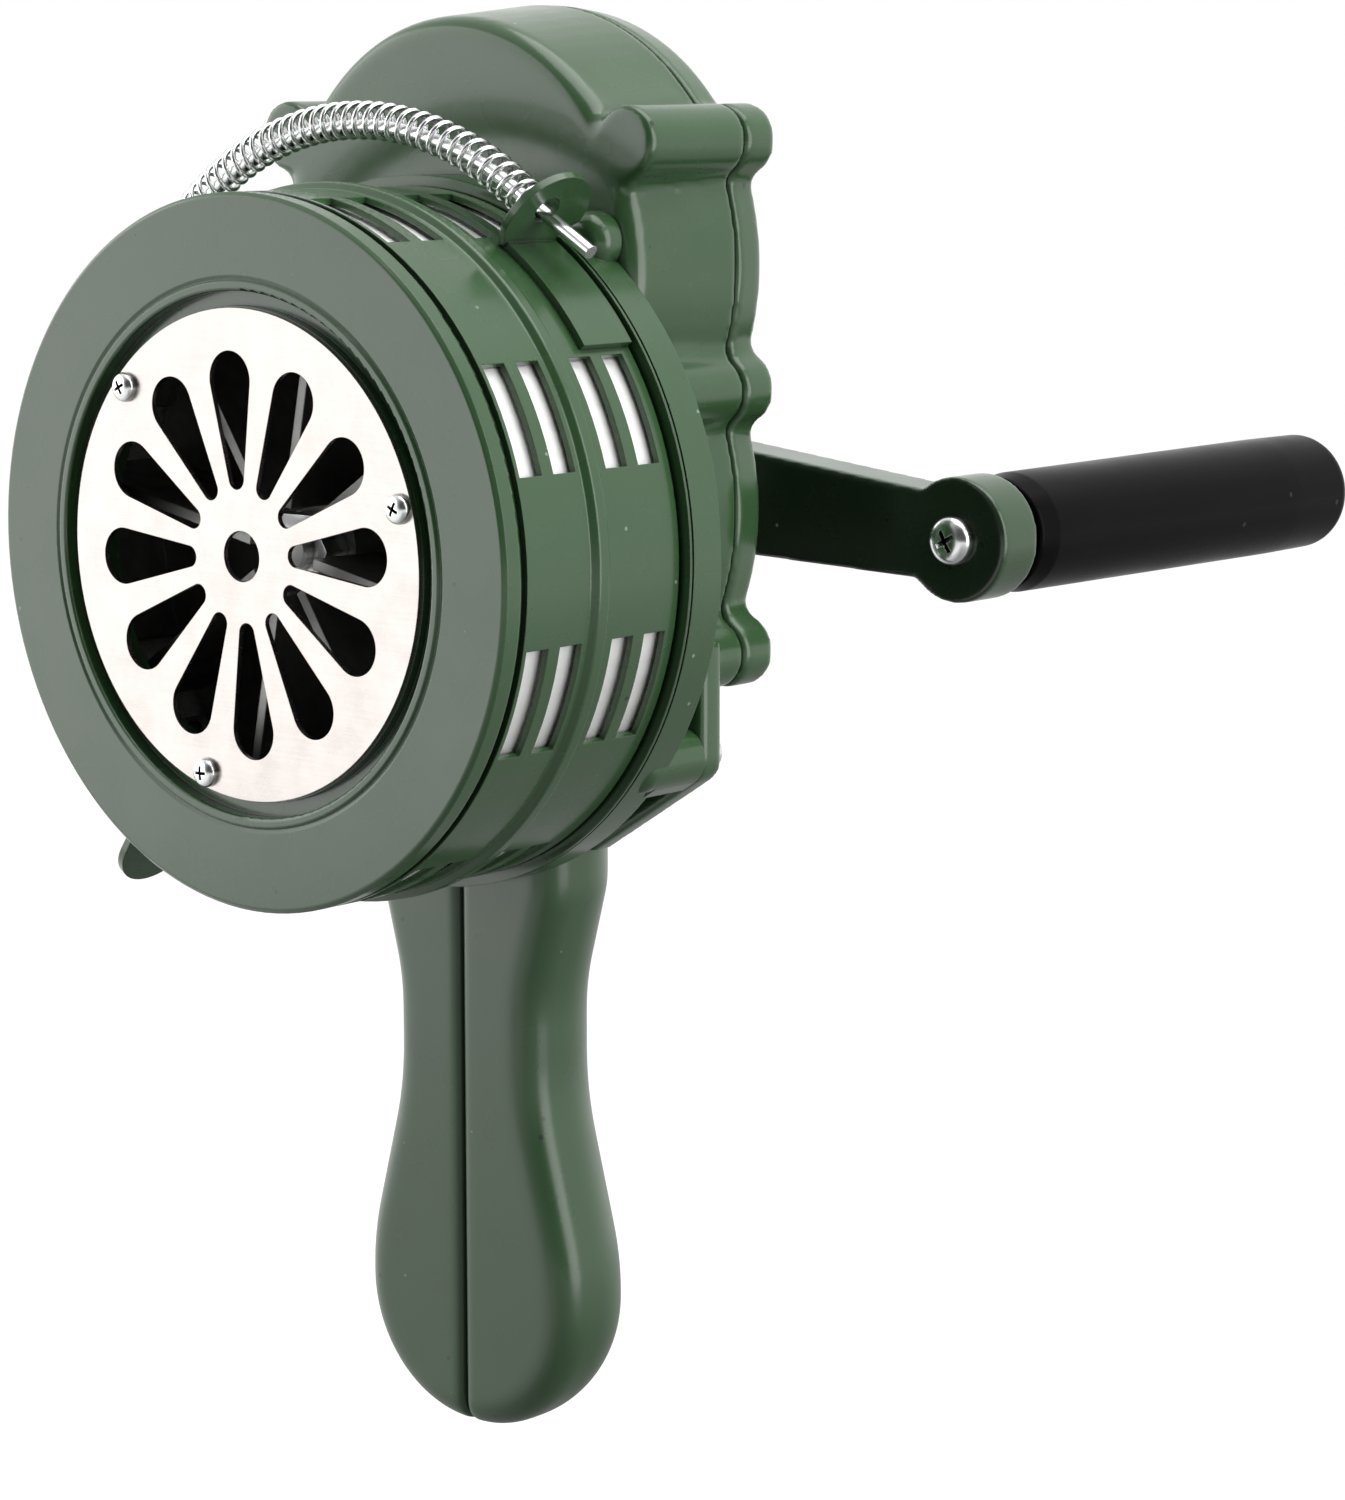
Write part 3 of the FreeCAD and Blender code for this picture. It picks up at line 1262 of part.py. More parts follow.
def make_all_screws():
    """Every set of screws, each long enough for what it joins."""
    small = ("small_screw_radius", "small_head_radius", "small_head_height")
    large = ("screw_radius", "screw_head_radius", "screw_head_height")
    make_screws("grille_screws", grille_screw_places(), "grille_inset", pan_screw(*small, "grille_screw_length"))
    crank = ("crank_screw_radius", "crank_head_radius", "crank_head_height")
    depth = "lug_front + lug_floor + 0.4"
    make_screws("upper_flange_screws", lug_places()[:2], "lug_seat", pan_screw(*large, f"lug_seat - ({depth})"), 180)
    make_screws("lower_flange_screws", lug_places()[2:], "skirt_rear", pan_screw(*large, f"skirt_rear - ({depth})"),
                180)
    make_screws("crank_screw", [("0", "crank_z")], "arm_rear + washer_thick", pan_screw(*crank, "crank_screw_length"), 180)
    make_screws("cover_screws", cover_screw_places(), "cover_rear",
                pan_screw(*large, "cover_depth + cover_screw_reach"), 180)
    make_handle_screws()


def make_handle_screws():
    """Screws across the handle, their heads sunk into the left half."""
    screw = pan_screw("screw_radius", "screw_head_radius", "screw_head_height", "handle_screw_length")
    places = [("-handle_screw_length / 2", height) for height in HANDLE_SCREW_HEIGHTS]
    make_screws("handle_screws", places, "tang_middle", screw, -90)


def build():
    """Make every sub-part in the order in which the siren goes together."""
    fill_sheet()
    make_front_ring()
    make_grille()
    make_drum()
    make_sleeve()
    make_stop_pin()
    make_flange()
    make_shutter_bracket()
    make_finger_tab()
    make_anchor()
    make_rod()
    make_rod_nut()
    make_spring()
    make_rotor()
    make_rotor_shaft()
    make_rotor_nut()
    make_bearing("front_bearing", "hub_front")
    make_bearing("rear_bearing", "flange_rear - bearing_width")
    make_gears()
    make_cluster_shaft()
    make_crank_shaft()
    make_bush("front_bush", "shaft_radius", "flange_rear + 0.2", "gear_front - 0.8", "cluster_z")
    make_bush("rear_bush", "shaft_radius", "crank_gear_rear + 2", "cover_rear - case_wall", "cluster_z")
    make_bush("crank_bush", "crank_shaft_radius", "bush_front", "cover_rear + cover_hub_length", "crank_z")
    make_case()
    make_cover()
    make_handle_half("handle_left", -1)
    make_handle_half("handle_right", 1)
    make_arm()
    make_spindle()
    make_grip()
    make_grip_washer()
    make_grip_nut()
    make_crank_washer()
    make_all_screws()


def check():
    """Stop if any object or sub-part failed, before anything is written."""
    failed = [item.Label for item in doc.Objects if {"Invalid", "Error"} & set(item.State)]
    failed += [part.Label for part in parts if part.Shape.isNull() or not part.Shape.isValid()]
    if failed:
        raise RuntimeError("failed: " + ", ".join(failed))


build()
doc.recompute()
check()
os.makedirs("parts", exist_ok=True)
for part in parts:
    part.Shape.exportStep(f"parts/{part.Label}.step")
    print(part.Label, len(part.Shape.Solids), round(part.Shape.Volume))
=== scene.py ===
"""Hand crank siren: materials, cast and wound pieces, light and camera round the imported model."""

import json
import math

import bmesh
import bpy
from mathutils import Matrix, Vector


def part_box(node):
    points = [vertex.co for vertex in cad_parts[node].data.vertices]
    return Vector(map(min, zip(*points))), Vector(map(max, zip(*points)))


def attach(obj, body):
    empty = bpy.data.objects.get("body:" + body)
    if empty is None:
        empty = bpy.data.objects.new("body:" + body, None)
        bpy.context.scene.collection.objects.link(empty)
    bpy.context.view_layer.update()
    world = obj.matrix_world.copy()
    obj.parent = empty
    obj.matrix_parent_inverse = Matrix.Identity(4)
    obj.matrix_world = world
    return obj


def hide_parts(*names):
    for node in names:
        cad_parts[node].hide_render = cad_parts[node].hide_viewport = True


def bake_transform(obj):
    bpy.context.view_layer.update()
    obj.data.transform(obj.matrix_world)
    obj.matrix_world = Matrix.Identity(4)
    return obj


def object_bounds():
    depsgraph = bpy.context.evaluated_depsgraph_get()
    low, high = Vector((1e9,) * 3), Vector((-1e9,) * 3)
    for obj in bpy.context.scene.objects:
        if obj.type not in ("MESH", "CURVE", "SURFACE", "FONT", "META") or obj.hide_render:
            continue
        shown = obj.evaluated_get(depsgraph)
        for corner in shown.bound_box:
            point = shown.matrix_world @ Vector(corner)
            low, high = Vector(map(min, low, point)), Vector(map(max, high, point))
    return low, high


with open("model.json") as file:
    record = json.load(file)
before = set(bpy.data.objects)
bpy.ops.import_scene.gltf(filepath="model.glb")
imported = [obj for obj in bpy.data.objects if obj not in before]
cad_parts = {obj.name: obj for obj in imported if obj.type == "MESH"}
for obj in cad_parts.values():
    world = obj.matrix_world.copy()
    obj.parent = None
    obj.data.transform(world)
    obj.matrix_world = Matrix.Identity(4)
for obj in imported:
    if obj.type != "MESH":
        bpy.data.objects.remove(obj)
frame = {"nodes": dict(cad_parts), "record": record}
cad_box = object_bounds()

MM = 0.001
NODES = frame["nodes"]
SLOTS = {part["node"]: part["material_slot"] for part in frame["record"]["subparts"]}
FORWARD = (0, -1, 0)
BACKWARD = (0, 1, 0)
LEFTWARD = (-1, 0, 0)

# camera: place, angles in degrees, lens and sensor in millimetres
CAMERA_PLACE = (0.544737, -0.508658, 0.089417)
CAMERA_PITCH = -9.5852
CAMERA_HEADING = 40.8904
CAMERA_LENS = 98.119
CAMERA_SENSOR = 36
CAMERA_CLIP_START = 0.05
CAMERA_CLIP_END = 20

# reading the CAD meshes: vertices nearer than this are one, and anything smaller than this is no solid
MERGE_DISTANCE = 1e-6
SMALLEST_SOLID = 3 * MM

# castings: the grid they are remeshed on, the radius of their inside corners, and how often they are smoothed
CAST_GRID = 0.7 * MM
CAST_BLEND = 2.2 * MM
CAST_ROUNDS = 3
HANDLE_ROUNDS = 9
ARM_GRID = 0.5 * MM
ARM_BLEND = 1.2 * MM
SMOOTHING = 0.5

# screws: height of their heads, and their shank's radius as a share of the head's
SMALL_HEAD = 2.0 * MM
LARGE_HEAD = 2.6 * MM
CRANK_HEAD = 3.8 * MM
SPINDLE_HEAD = 3.0 * MM
SHANK_SHARE = 0.54
SPINDLE_SHANK_SHARE = 0.62

# the dome of a head: roundness of its outline, steps from middle to rim and round its axis, and the angle
# from which its edges stay sharp
DOME_POWER = 2.8
DOME_STEPS = 14
TURNED_STEPS = 48
CREASE_ANGLE = math.radians(38)

# the cross recess: reach and half-width as shares of the head's radius, top and bottom as shares of its
# height, and its lower outline as shares of its upper one
CROSS_REACH = 0.52
CROSS_HALF_WIDTH = 0.11
CROSS_TOP = 1.1
CROSS_BOTTOM = 0.25
CROSS_TAPER_X = 0.45
CROSS_TAPER_Y = 0.6

# how far the first screw of a set is turned, and how much further each one after it, in radians
FIRST_TURN = 0.5
NEXT_TURN = 1.1

# spring: wire, turns, those of them that are closed up at each end, bow off the rod, gap to the anchor
SPRING_WIRE = 1.05 * MM
SPRING_TURNS = 42
SPRING_CLOSED = 1.5
SPRING_BOW = 1.2 * MM
SPRING_GAP = 0.3 * MM
STEPS_PER_TURN = 22
WIRE_RESOLUTION = 2

# the guide rod's line: an arc behind the drum's top edge, then a straight tail through the ear
ROD_CENTRE = (-5.2 * MM, 38.5 * MM, 3.98 * MM)
ROD_BEND = 73.13 * MM
ROD_START = math.radians(-52.6)
ROD_STRAIGHT = math.radians(30.5)

# surfaces: rays that look for edges and gaps, the values that noise mostly keeps within, how grain and
# streaks are stretched, and how strongly the smaller effects show
LOOKUP_SAMPLES = 6
NOISE_LOW = 0.3
NOISE_HIGH = 0.7
GRAIN_STRETCH = (40, 40, 2200)
STREAK_STRETCH = (300, 25, 300)
DUST_SHIFT = (0.3, 0.1, 0.7)
# how squarely a face must look forward for the shade painted on forward faces to begin and to be full
FRONT_FROM = 0.55
FRONT_FULL = 0.85
DEEPEST_TARNISH = 0.35
TARNISH_DULLNESS = 0.08
STREAK_PALENESS = 1.7
# how far the pale edges reach, partly chipped paint and partly a painted highlight, as a share of the edge
# radius
WEAR_AND_HIGHLIGHT_REACH = 1.6
FINE_PEEL = 0.3
RIDGE_HEIGHT = 4

# colours of what lies on a surface or shows through it; the pale edge colour is partly a painted highlight,
# and the last two are shade painted into gaps and inside corners
DIRT = (0.01, 0.012, 0.01, 1)
DUST = (0.45, 0.5, 0.44, 1)
BARE_EDGE_AND_HIGHLIGHT = (0.5, 0.52, 0.48, 1)
SCUFF = (0.08, 0.08, 0.075, 1)
PAINT_GAP_SHADE = (0.006, 0.009, 0.006, 1)
METAL_GAP_SHADE = (0.03, 0.035, 0.03, 1)

# lamps: direction from their target, distance, width, height and radiance
LAMP_TARGET = (0, 0.06, 0)
LAMPS = {
    "key": ((-0.82, -0.57, 0.2), 1.4, 1.9, 1.35, 1.62),
    "right": ((0.98, 0.17, 0.2), 1.4, 0.95, 1.5, 3.1),
    "high": ((0.8, -0.2, 0.6), 1.3, 0.3, 0.5, 0.8),
    "top": ((0.2, 0.1, 1.0), 1.3, 1.3, 1.3, 2.5),
}

# world: its fill light, and the side on which the room is dim in reflections
WHITE = (1.0, 1.0, 1.0, 1.0)
WORLD_FILL = 0.07
DIM_SIDE = (0.66, -0.75, 0.0)
DIM_FULL = 0.75
DIM_LEVEL = 0.08

# floor: how far below the handle, half its width, and its glow to the camera, full from GLOW_FAR on
FLOOR_DROP = 0.2
FLOOR_HALF = 6
FLOOR_COLOUR = (0.22, 0.22, 0.22, 1)
FLOOR_ROUGHNESS = 0.9
FLOOR_GLOW = 0.88
GLOW_NEAR = 0.2
GLOW_FAR = 0.9

# floor in reflections: dim near the siren, white on the key lamp's side and far away
KEY_SIDE = (-0.75, -0.66, 0.0)
MIRROR_DIM = 0.13
MIRROR_NEAR = 0.45
MIRROR_FAR = 2.2


# ---------------------------------------------------------------- mesh helpers

def solid_boxes(name):
    """Low and high corner of each separate solid in a CAD node, in the order of their places."""
    shape = bmesh.new()
    shape.from_mesh(NODES[name].data)
    bmesh.ops.remove_doubles(shape, verts=shape.verts, dist=MERGE_DISTANCE)
    left = set(shape.verts)
    boxes = []
    while left:
        group = {left.pop()}
        edge = list(group)
        while edge:
            vert = edge.pop()
            for link in vert.link_edges:
                other = link.other_vert(vert)
                if other in left:
                    left.discard(other)
                    group.add(other)
                    edge.append(other)
        places = [vert.co for vert in group]
        low = Vector([min(place[axis] for place in places) for axis in range(3)])
        high = Vector([max(place[axis] for place in places) for axis in range(3)])
        if (high - low).length > SMALLEST_SOLID:
            boxes.append((low, high))
    shape.free()
    return sorted(boxes, key=lambda box: tuple(box[0]))


def finished_mesh(name, shape):
    """A mesh made of a bmesh with its faces turned outwards; the bmesh is freed."""
    bmesh.ops.recalc_face_normals(shape, faces=shape.faces)
    mesh = bpy.data.meshes.new(name)
    shape.to_mesh(mesh)
    shape.free()
    return mesh


def scratch_object(mesh):
    """An object for a mesh or curve that evaluated_mesh takes away again."""
    work = bpy.data.objects.new("scratch", mesh)
    bpy.context.scene.collection.objects.link(work)
    return work


def evaluated_mesh(work):
    """The mesh of a scratch object with its modifiers applied; the object is removed."""
    bpy.context.view_layer.update()
    graph = bpy.context.evaluated_depsgraph_get()
    mesh = bpy.data.meshes.new_from_object(work.evaluated_get(graph))
    bpy.data.objects.remove(work)
    return mesh


def add_piece(name, mesh, material, body=None, replaced=()):
    """An object for a new mesh, riding on a body and standing for CAD nodes."""
    made = bpy.data.objects.new(name, mesh)
    bpy.context.scene.collection.objects.link(made)
    mesh.materials.clear()
    mesh.materials.append(material)
    mesh.shade_smooth()
    if body:
        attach(made, body)
    if replaced:
        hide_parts(*replaced)
    return made


# ---------------------------------------------------------------- shader nodes

def feed(tree, socket, value):
    """A socket linked to another one, or set to a plain value."""
    if isinstance(value, bpy.types.NodeSocket):
        tree.links.new(value, socket)
    else:
        socket.default_value = value


def add_node(tree, kind, inputs=None, **settings):
    """A shader node with its settings made and its inputs set or linked."""
    made = tree.nodes.new("ShaderNode" + kind)
    for key, value in settings.items():
        setattr(made, key, value)
    for key, value in (inputs or {}).items():
        feed(tree, made.inputs[key], value)
    return made


def start_material(name, **constants):
    """A principled material; the constants are set on the shader's own sockets."""
    material = bpy.data.materials.new(name)
    material.use_nodes = True
    tree = material.node_tree
    shader = tree.nodes["Principled BSDF"]
    for key, value in constants.items():
        shader.inputs[key.replace("_", " ")].default_value = value
    place = add_node(tree, "TexCoord").outputs["Object"]
    return material, tree, shader, place


def noise(tree, place, scale, detail=2.0, roughness=0.5):
    inputs = {"Vector": place, "Scale": scale, "Detail": detail, "Roughness": roughness}
    return add_node(tree, "TexNoise", inputs).outputs["Fac"]


def ramp(tree, value, low, high, from_value=0.0, to_value=1.0):
    """Values from low to high spread from from_value to to_value, and held beyond."""
    inputs = {"Value": value, "From Min": low, "From Max": high, "To Min": from_value, "To Max": to_value}
    return add_node(tree, "MapRange", inputs).outputs["Result"]


def calculate(tree, operation, first, second):
    return add_node(tree, "Math", {0: first, 1: second}, operation=operation).outputs[0]


def dot_product(tree, first, second):
    return add_node(tree, "VectorMath", {0: first, 1: second}, operation="DOT_PRODUCT").outputs["Value"]


def adjusted(tree, place, **change):
    """Texture coordinates with another Location or Scale."""
    return add_node(tree, "Mapping", {"Vector": place, **change}).outputs[0]


def mix_colour(tree, share, first, second):
    made = add_node(tree, "Mix", data_type="RGBA")
    feed(tree, made.inputs["Factor"], share)
    feed(tree, made.inputs["A"], first)
    feed(tree, made.inputs["B"], second)
    return made.outputs["Result"]


def cover(tree, shade, colour, mask, strength):
    """A shade with a colour over it where the mask is 1, as strongly as given."""
    return mix_colour(tree, calculate(tree, "MULTIPLY", mask, strength), shade, colour)


def specks(tree, place, scale, size, density):
    """Scattered dots: 1 inside a dot. Density is the share of cells that hold one."""
    cells = add_node(tree, "TexVoronoi", {"Vector": place, "Scale": scale})
    near = calculate(tree, "LESS_THAN", cells.outputs["Distance"], size)
    parts = add_node(tree, "SeparateColor", {"Color": cells.outputs["Color"]})
    chosen = calculate(tree, "LESS_THAN", parts.outputs["Red"], density)
    return calculate(tree, "MULTIPLY", near, chosen)


def rounded_normal(tree, radius):
    """The surface's direction, with edges rounded by a radius."""
    return add_node(tree, "Bevel", {"Radius": radius}, samples=LOOKUP_SAMPLES).outputs["Normal"]


def worn_and_highlit_edges(tree, radius, low, high):
    """1 on sharp outside and inside edges, 0 on flat and gently curved faces; it places the pale edges,
    partly worn paint and partly a painted highlight.
    """
    plain = add_node(tree, "NewGeometry").outputs["Normal"]
    return ramp(tree, dot_product(tree, rounded_normal(tree, radius), plain), high, low)


def crevices(tree, reach, low, high):
    """1 in narrow gaps and inside corners, 0 in the open."""
    open_share = add_node(tree, "AmbientOcclusion", {"Distance": reach}, samples=LOOKUP_SAMPLES).outputs["AO"]
    return ramp(tree, open_share, high, low)


def front_faces(tree):
    """1 on faces that look forward, to the side of the intake, and 0 on the others: where shade is painted.
    """
    normal = add_node(tree, "TexCoord").outputs["Normal"]
    return ramp(tree, dot_product(tree, normal, FORWARD), FRONT_FROM, FRONT_FULL)


def set_roughness(tree, shader, clouds, roughness, less, more):
    """Roughness that wanders with the clouds, from less to more than its middle."""
    uneven = ramp(tree, clouds, NOISE_LOW, NOISE_HIGH, roughness - less, roughness + more)
    feed(tree, shader.inputs["Roughness"], uneven)


def set_bump(tree, shader, height, depth, edge):
    """Surface relief of the given depth, over edges rounded by the radius edge."""
    inputs = {"Height": height, "Distance": depth, "Strength": 1.0, "Normal": rounded_normal(tree, edge)}
    feed(tree, shader.inputs["Normal"], add_node(tree, "Bump", inputs).outputs["Normal"])


# ---------------------------------------------------------------- kinds of material

def paint(name, light, dark, roughness, edge=0.35 * MM, chips_and_highlight=0.25, coat=0.14, front=None):
    """Satin enamel: uneven colour, orange peel, specks of dirt and dust, pale edges that are partly worn
    paint and partly a painted highlight, and shade painted into its gaps.

    Faces that look forward have the colour front, where one is given: painted shade, for the shadow those
    faces lie in.
    """
    material, tree, shader, place = start_material(name, Coat_Weight=0.4, Coat_Roughness=coat,
                                                   Specular_IOR_Level=0.45)
    shade = mix_colour(tree, noise(tree, place, scale=28, detail=4), (*dark, 1), (*light, 1))
    if front:
        # painted shade on the faces that look forward
        shade = mix_colour(tree, front_faces(tree), shade, (*front, 1))
    dirt_and_gap_shade = specks(tree, place, scale=260, size=0.13, density=0.035)
    shade = cover(tree, shade, DIRT, dirt_and_gap_shade, strength=0.7)
    dust = specks(tree, adjusted(tree, place, Location=DUST_SHIFT), scale=320, size=0.12, density=0.02)
    shade = cover(tree, shade, DUST, dust, strength=0.6)
    # pale edges in patches: partly chipped paint, partly a painted highlight along the edges
    patches = ramp(tree, noise(tree, place, scale=210, detail=3, roughness=0.6), low=0.56, high=0.68)
    worn_and_highlit = calculate(tree, "MULTIPLY", worn_and_highlit_edges(tree, edge * WEAR_AND_HIGHLIGHT_REACH, low=0.55, high=0.9), patches)
    shade = cover(tree, shade, BARE_EDGE_AND_HIGHLIGHT, worn_and_highlit, strength=chips_and_highlight)
    # painted shade: gaps and inside corners are darkened
    gaps = crevices(tree, reach=1.6 * MM, low=0.35, high=0.8)
    feed(tree, shader.inputs["Base Color"], cover(tree, shade, PAINT_GAP_SHADE, gaps, strength=0.85))
    set_roughness(tree, shader, noise(tree, place, scale=90, detail=3), roughness, less=0.04, more=0.05)
    fine = calculate(tree, "MULTIPLY", noise(tree, place, scale=1500), FINE_PEEL)
    peel = calculate(tree, "ADD", noise(tree, place, scale=520), fine)
    set_bump(tree, shader, peel, depth=0.012 * MM, edge=edge)
    return material


def metal(name, colour, roughness, grain=0.0, edge=0.15 * MM, tarnish=0.5, bare=1.0, dirt_and_gap_shade=0.0, pits=1.0):
    """Bare or plated metal with faint tarnish, fine grain and scattered pits, and shade painted into its
    gaps.
    """
    material, tree, shader, place = start_material(name, Metallic=bare)
    cloud = ramp(tree, noise(tree, place, scale=120, detail=4, roughness=0.6), low=0.35, high=0.75)
    darker = tuple(part * (1 - DEEPEST_TARNISH * tarnish) for part in colour)
    shade = mix_colour(tree, cloud, (*colour, 1), (*darker, 1))
    if dirt_and_gap_shade:
        # painted shade: gaps and inside corners are darkened, such as a screw's recess and the gaps between
        # spring coils
        gaps = crevices(tree, reach=1.3 * MM, low=0.3, high=0.85)
        shade = cover(tree, shade, METAL_GAP_SHADE, gaps, strength=dirt_and_gap_shade)
    feed(tree, shader.inputs["Base Color"], shade)
    lines = noise(tree, adjusted(tree, place, Scale=GRAIN_STRETCH), scale=1.0, detail=3, roughness=0.6)
    dull = ramp(tree, cloud, 0, 1, roughness, roughness + TARNISH_DULLNESS)
    rough_lines = ramp(tree, lines, NOISE_LOW, NOISE_HIGH, 0, grain)
    feed(tree, shader.inputs["Roughness"], calculate(tree, "ADD", dull, rough_lines))
    ridges = calculate(tree, "MULTIPLY", lines, grain * RIDGE_HEIGHT)
    hollows = calculate(tree, "MULTIPLY", noise(tree, place, scale=900), pits)
    set_bump(tree, shader, calculate(tree, "ADD", ridges, hollows), depth=0.006 * MM, edge=edge)
    return material


def moulding(name, colour, roughness):
    """Satin moulding with faint streaks along its length and a few scuffs."""
    material, tree, shader, place = start_material(name, Specular_IOR_Level=0.05)
    streaks = noise(tree, adjusted(tree, place, Scale=STREAK_STRETCH), scale=1.0, detail=4)
    pale = tuple(part * STREAK_PALENESS for part in colour)
    shade = mix_colour(tree, ramp(tree, streaks, low=0.4, high=0.7), (*colour, 1), (*pale, 1))
    scuffs = specks(tree, place, scale=190, size=0.1, density=0.05)
    feed(tree, shader.inputs["Base Color"], cover(tree, shade, SCUFF, scuffs, strength=0.5))
    set_roughness(tree, shader, noise(tree, place, scale=60, detail=4), roughness, less=0.05, more=0.06)
    set_bump(tree, shader, noise(tree, place, scale=1400, detail=3), depth=0.008 * MM, edge=0.3 * MM)
    return material


# ---------------------------------------------------------------- materials

PAINTS = {
    "green_paint": {"light": (0.049, 0.12, 0.0445), "dark": (0.04, 0.102, 0.038), "roughness": 0.26},
    "green_handle": {"light": (0.043, 0.105, 0.041), "dark": (0.0355, 0.09, 0.0345), "roughness": 0.3,
                     "edge": 0.8 * MM, "chips_and_highlight": 0.1, "coat": 0.3},
    # crank_paint is green_paint's green darkened, and darker still on faces that look forward: both are
    # painted shade, for the body shadows the crank
    "crank_paint": {"light": (0.033, 0.088, 0.03), "dark": (0.028, 0.076, 0.026), "roughness": 0.26,
                    "chips_and_highlight": 0.4, "front": (0.02, 0.034, 0.018)},
}
METALS = {
    "polished_steel": {"colour": (0.445, 0.412, 0.393), "roughness": 0.2, "grain": 0.05, "tarnish": 0.15},
    # the zinc steel darkens its gaps and inside corners with painted shade
    "zinc_steel": {"colour": (0.8, 0.81, 0.81), "roughness": 0.18, "tarnish": 0.2, "dirt_and_gap_shade": 0.9, "pits": 0.15},
    "bright_aluminium": {"colour": (0.97, 0.97, 0.955), "roughness": 0.5, "grain": 0.1, "tarnish": 0.05,
                         "bare": 0.6},
    "cast_aluminium": {"colour": (0.34, 0.34, 0.33), "roughness": 0.5, "tarnish": 0.8, "edge": 0.4 * MM},
    "plain_steel": {"colour": (0.5, 0.5, 0.49), "roughness": 0.28},
    "gear_steel": {"colour": (0.42, 0.41, 0.39), "roughness": 0.34, "tarnish": 0.7},
    "bronze": {"colour": (0.62, 0.45, 0.24), "roughness": 0.35},
}
MOULDINGS = {
    "black_plastic": {"colour": (0.0018, 0.0022, 0.0019), "roughness": 0.26},
}
MATERIALS = {}
for kind, looks in ((paint, PAINTS), (metal, METALS), (moulding, MOULDINGS)):
    for slot_name, look in looks.items():
        MATERIALS[slot_name] = kind(slot_name, **look)


def dress_nodes():
    """Every CAD node gets its slot's material."""
    for name, node in NODES.items():
        node.data.materials.clear()
        node.data.materials.append(MATERIALS[SLOTS[name]])


# ---------------------------------------------------------------- castings

def cast_mesh(name, grid, blend, rounds):
    """A CAD node's form with filled inside corners: swelled on a fine grid, shrunk back and smoothed."""
    work = scratch_object(NODES[name].data.copy())
    for distance in (blend, -blend, 0):
        remesh = work.modifiers.new("grid", "REMESH")
        remesh.mode = "VOXEL"
        remesh.voxel_size = grid
        if distance:
            swell = work.modifiers.new("swell", "DISPLACE")
            swell.mid_level = 0
            swell.strength = distance
    smooth = work.modifiers.new("smooth", "SMOOTH")
    smooth.factor = SMOOTHING
    smooth.iterations = rounds
    return evaluated_mesh(work)


def cast_piece(name, body, grid, blend, rounds):
    """The cast form of a CAD node, in that node's material."""
    mesh = cast_mesh(name, grid, blend, rounds)
    add_piece("cast_" + name, mesh, MATERIALS[SLOTS[name]], body, [name])


def add_castings():
    cast_piece("gearbox_case", "frame", CAST_GRID, CAST_BLEND, CAST_ROUNDS)
    cast_piece("gearbox_cover", "frame", CAST_GRID, CAST_BLEND, CAST_ROUNDS)
    cast_piece("crank_arm", "crank", ARM_GRID, ARM_BLEND, CAST_ROUNDS)
    cast_piece("handle_left", "frame", CAST_GRID, CAST_BLEND, HANDLE_ROUNDS)
    cast_piece("handle_right", "frame", CAST_GRID, CAST_BLEND, HANDLE_ROUNDS)


# ---------------------------------------------------------------- screws

def dome_profile(radius, height):
    """Points of a pan head from its middle, at the given height, out to its rim at height 0."""
    points = []
    for step in range(DOME_STEPS + 1):
        angle = math.pi / 2 * step / DOME_STEPS
        out = math.sin(angle) ** (2 / DOME_POWER)
        up = math.cos(angle) ** (2 / DOME_POWER)
        points.append((radius * out, height * up))
    return points


def revolved(points):
    """A closed form turned about +Z from (radius, height) points; the first and last lie on the axis."""
    shape = bmesh.new()
    verts = [shape.verts.new((radius, 0, height)) for radius, height in points]
    edges = [shape.edges.new(pair) for pair in zip(verts, verts[1:])]
    bmesh.ops.spin(shape, geom=verts + edges, axis=(0, 0, 1), cent=(0, 0, 0), steps=TURNED_STEPS,
                   angle=2 * math.pi)
    bmesh.ops.remove_doubles(shape, verts=shape.verts, dist=MERGE_DISTANCE)
    return finished_mesh("revolved", shape)


def cross_cutter(reach, half_width, top, bottom):
    """A cross of two tapered bars for the recess of a screw head."""
    outline = []
    for quarter in range(4):
        turn = Matrix.Rotation(quarter * math.pi / 2, 2)
        for corner in ((half_width, -half_width), (reach, -half_width), (reach, half_width)):
            outline.append(turn @ Vector(corner))
    shape = bmesh.new()
    upper = [shape.verts.new((point.x, point.y, top)) for point in outline]
    lower = [shape.verts.new((point.x * CROSS_TAPER_X, point.y * CROSS_TAPER_Y, bottom)) for point in outline]
    shape.faces.new(upper)
    shape.faces.new(lower[::-1])
    for index in range(len(outline)):
        following = (index + 1) % len(outline)
        shape.faces.new((upper[following], upper[index], lower[index], lower[following]))
    return finished_mesh("cross", shape)


def screw_mesh(head_radius, head_height, shank_radius, shank_length):
    """A cross-recess pan head screw: head above height 0, shank below it."""
    points = dome_profile(head_radius, head_height)
    points += [(shank_radius, 0), (shank_radius, -shank_length), (0, -shank_length)]
    work = scratch_object(revolved(points))
    cutter = scratch_object(cross_cutter(head_radius * CROSS_REACH, head_radius * CROSS_HALF_WIDTH,
                                         head_height * CROSS_TOP, head_height * CROSS_BOTTOM))
    cut = work.modifiers.new("recess", "BOOLEAN")
    cut.operation = "DIFFERENCE"
    cut.object = cutter
    cut.solver = "EXACT"
    mesh = evaluated_mesh(work)
    bpy.data.objects.remove(cutter)
    return mesh


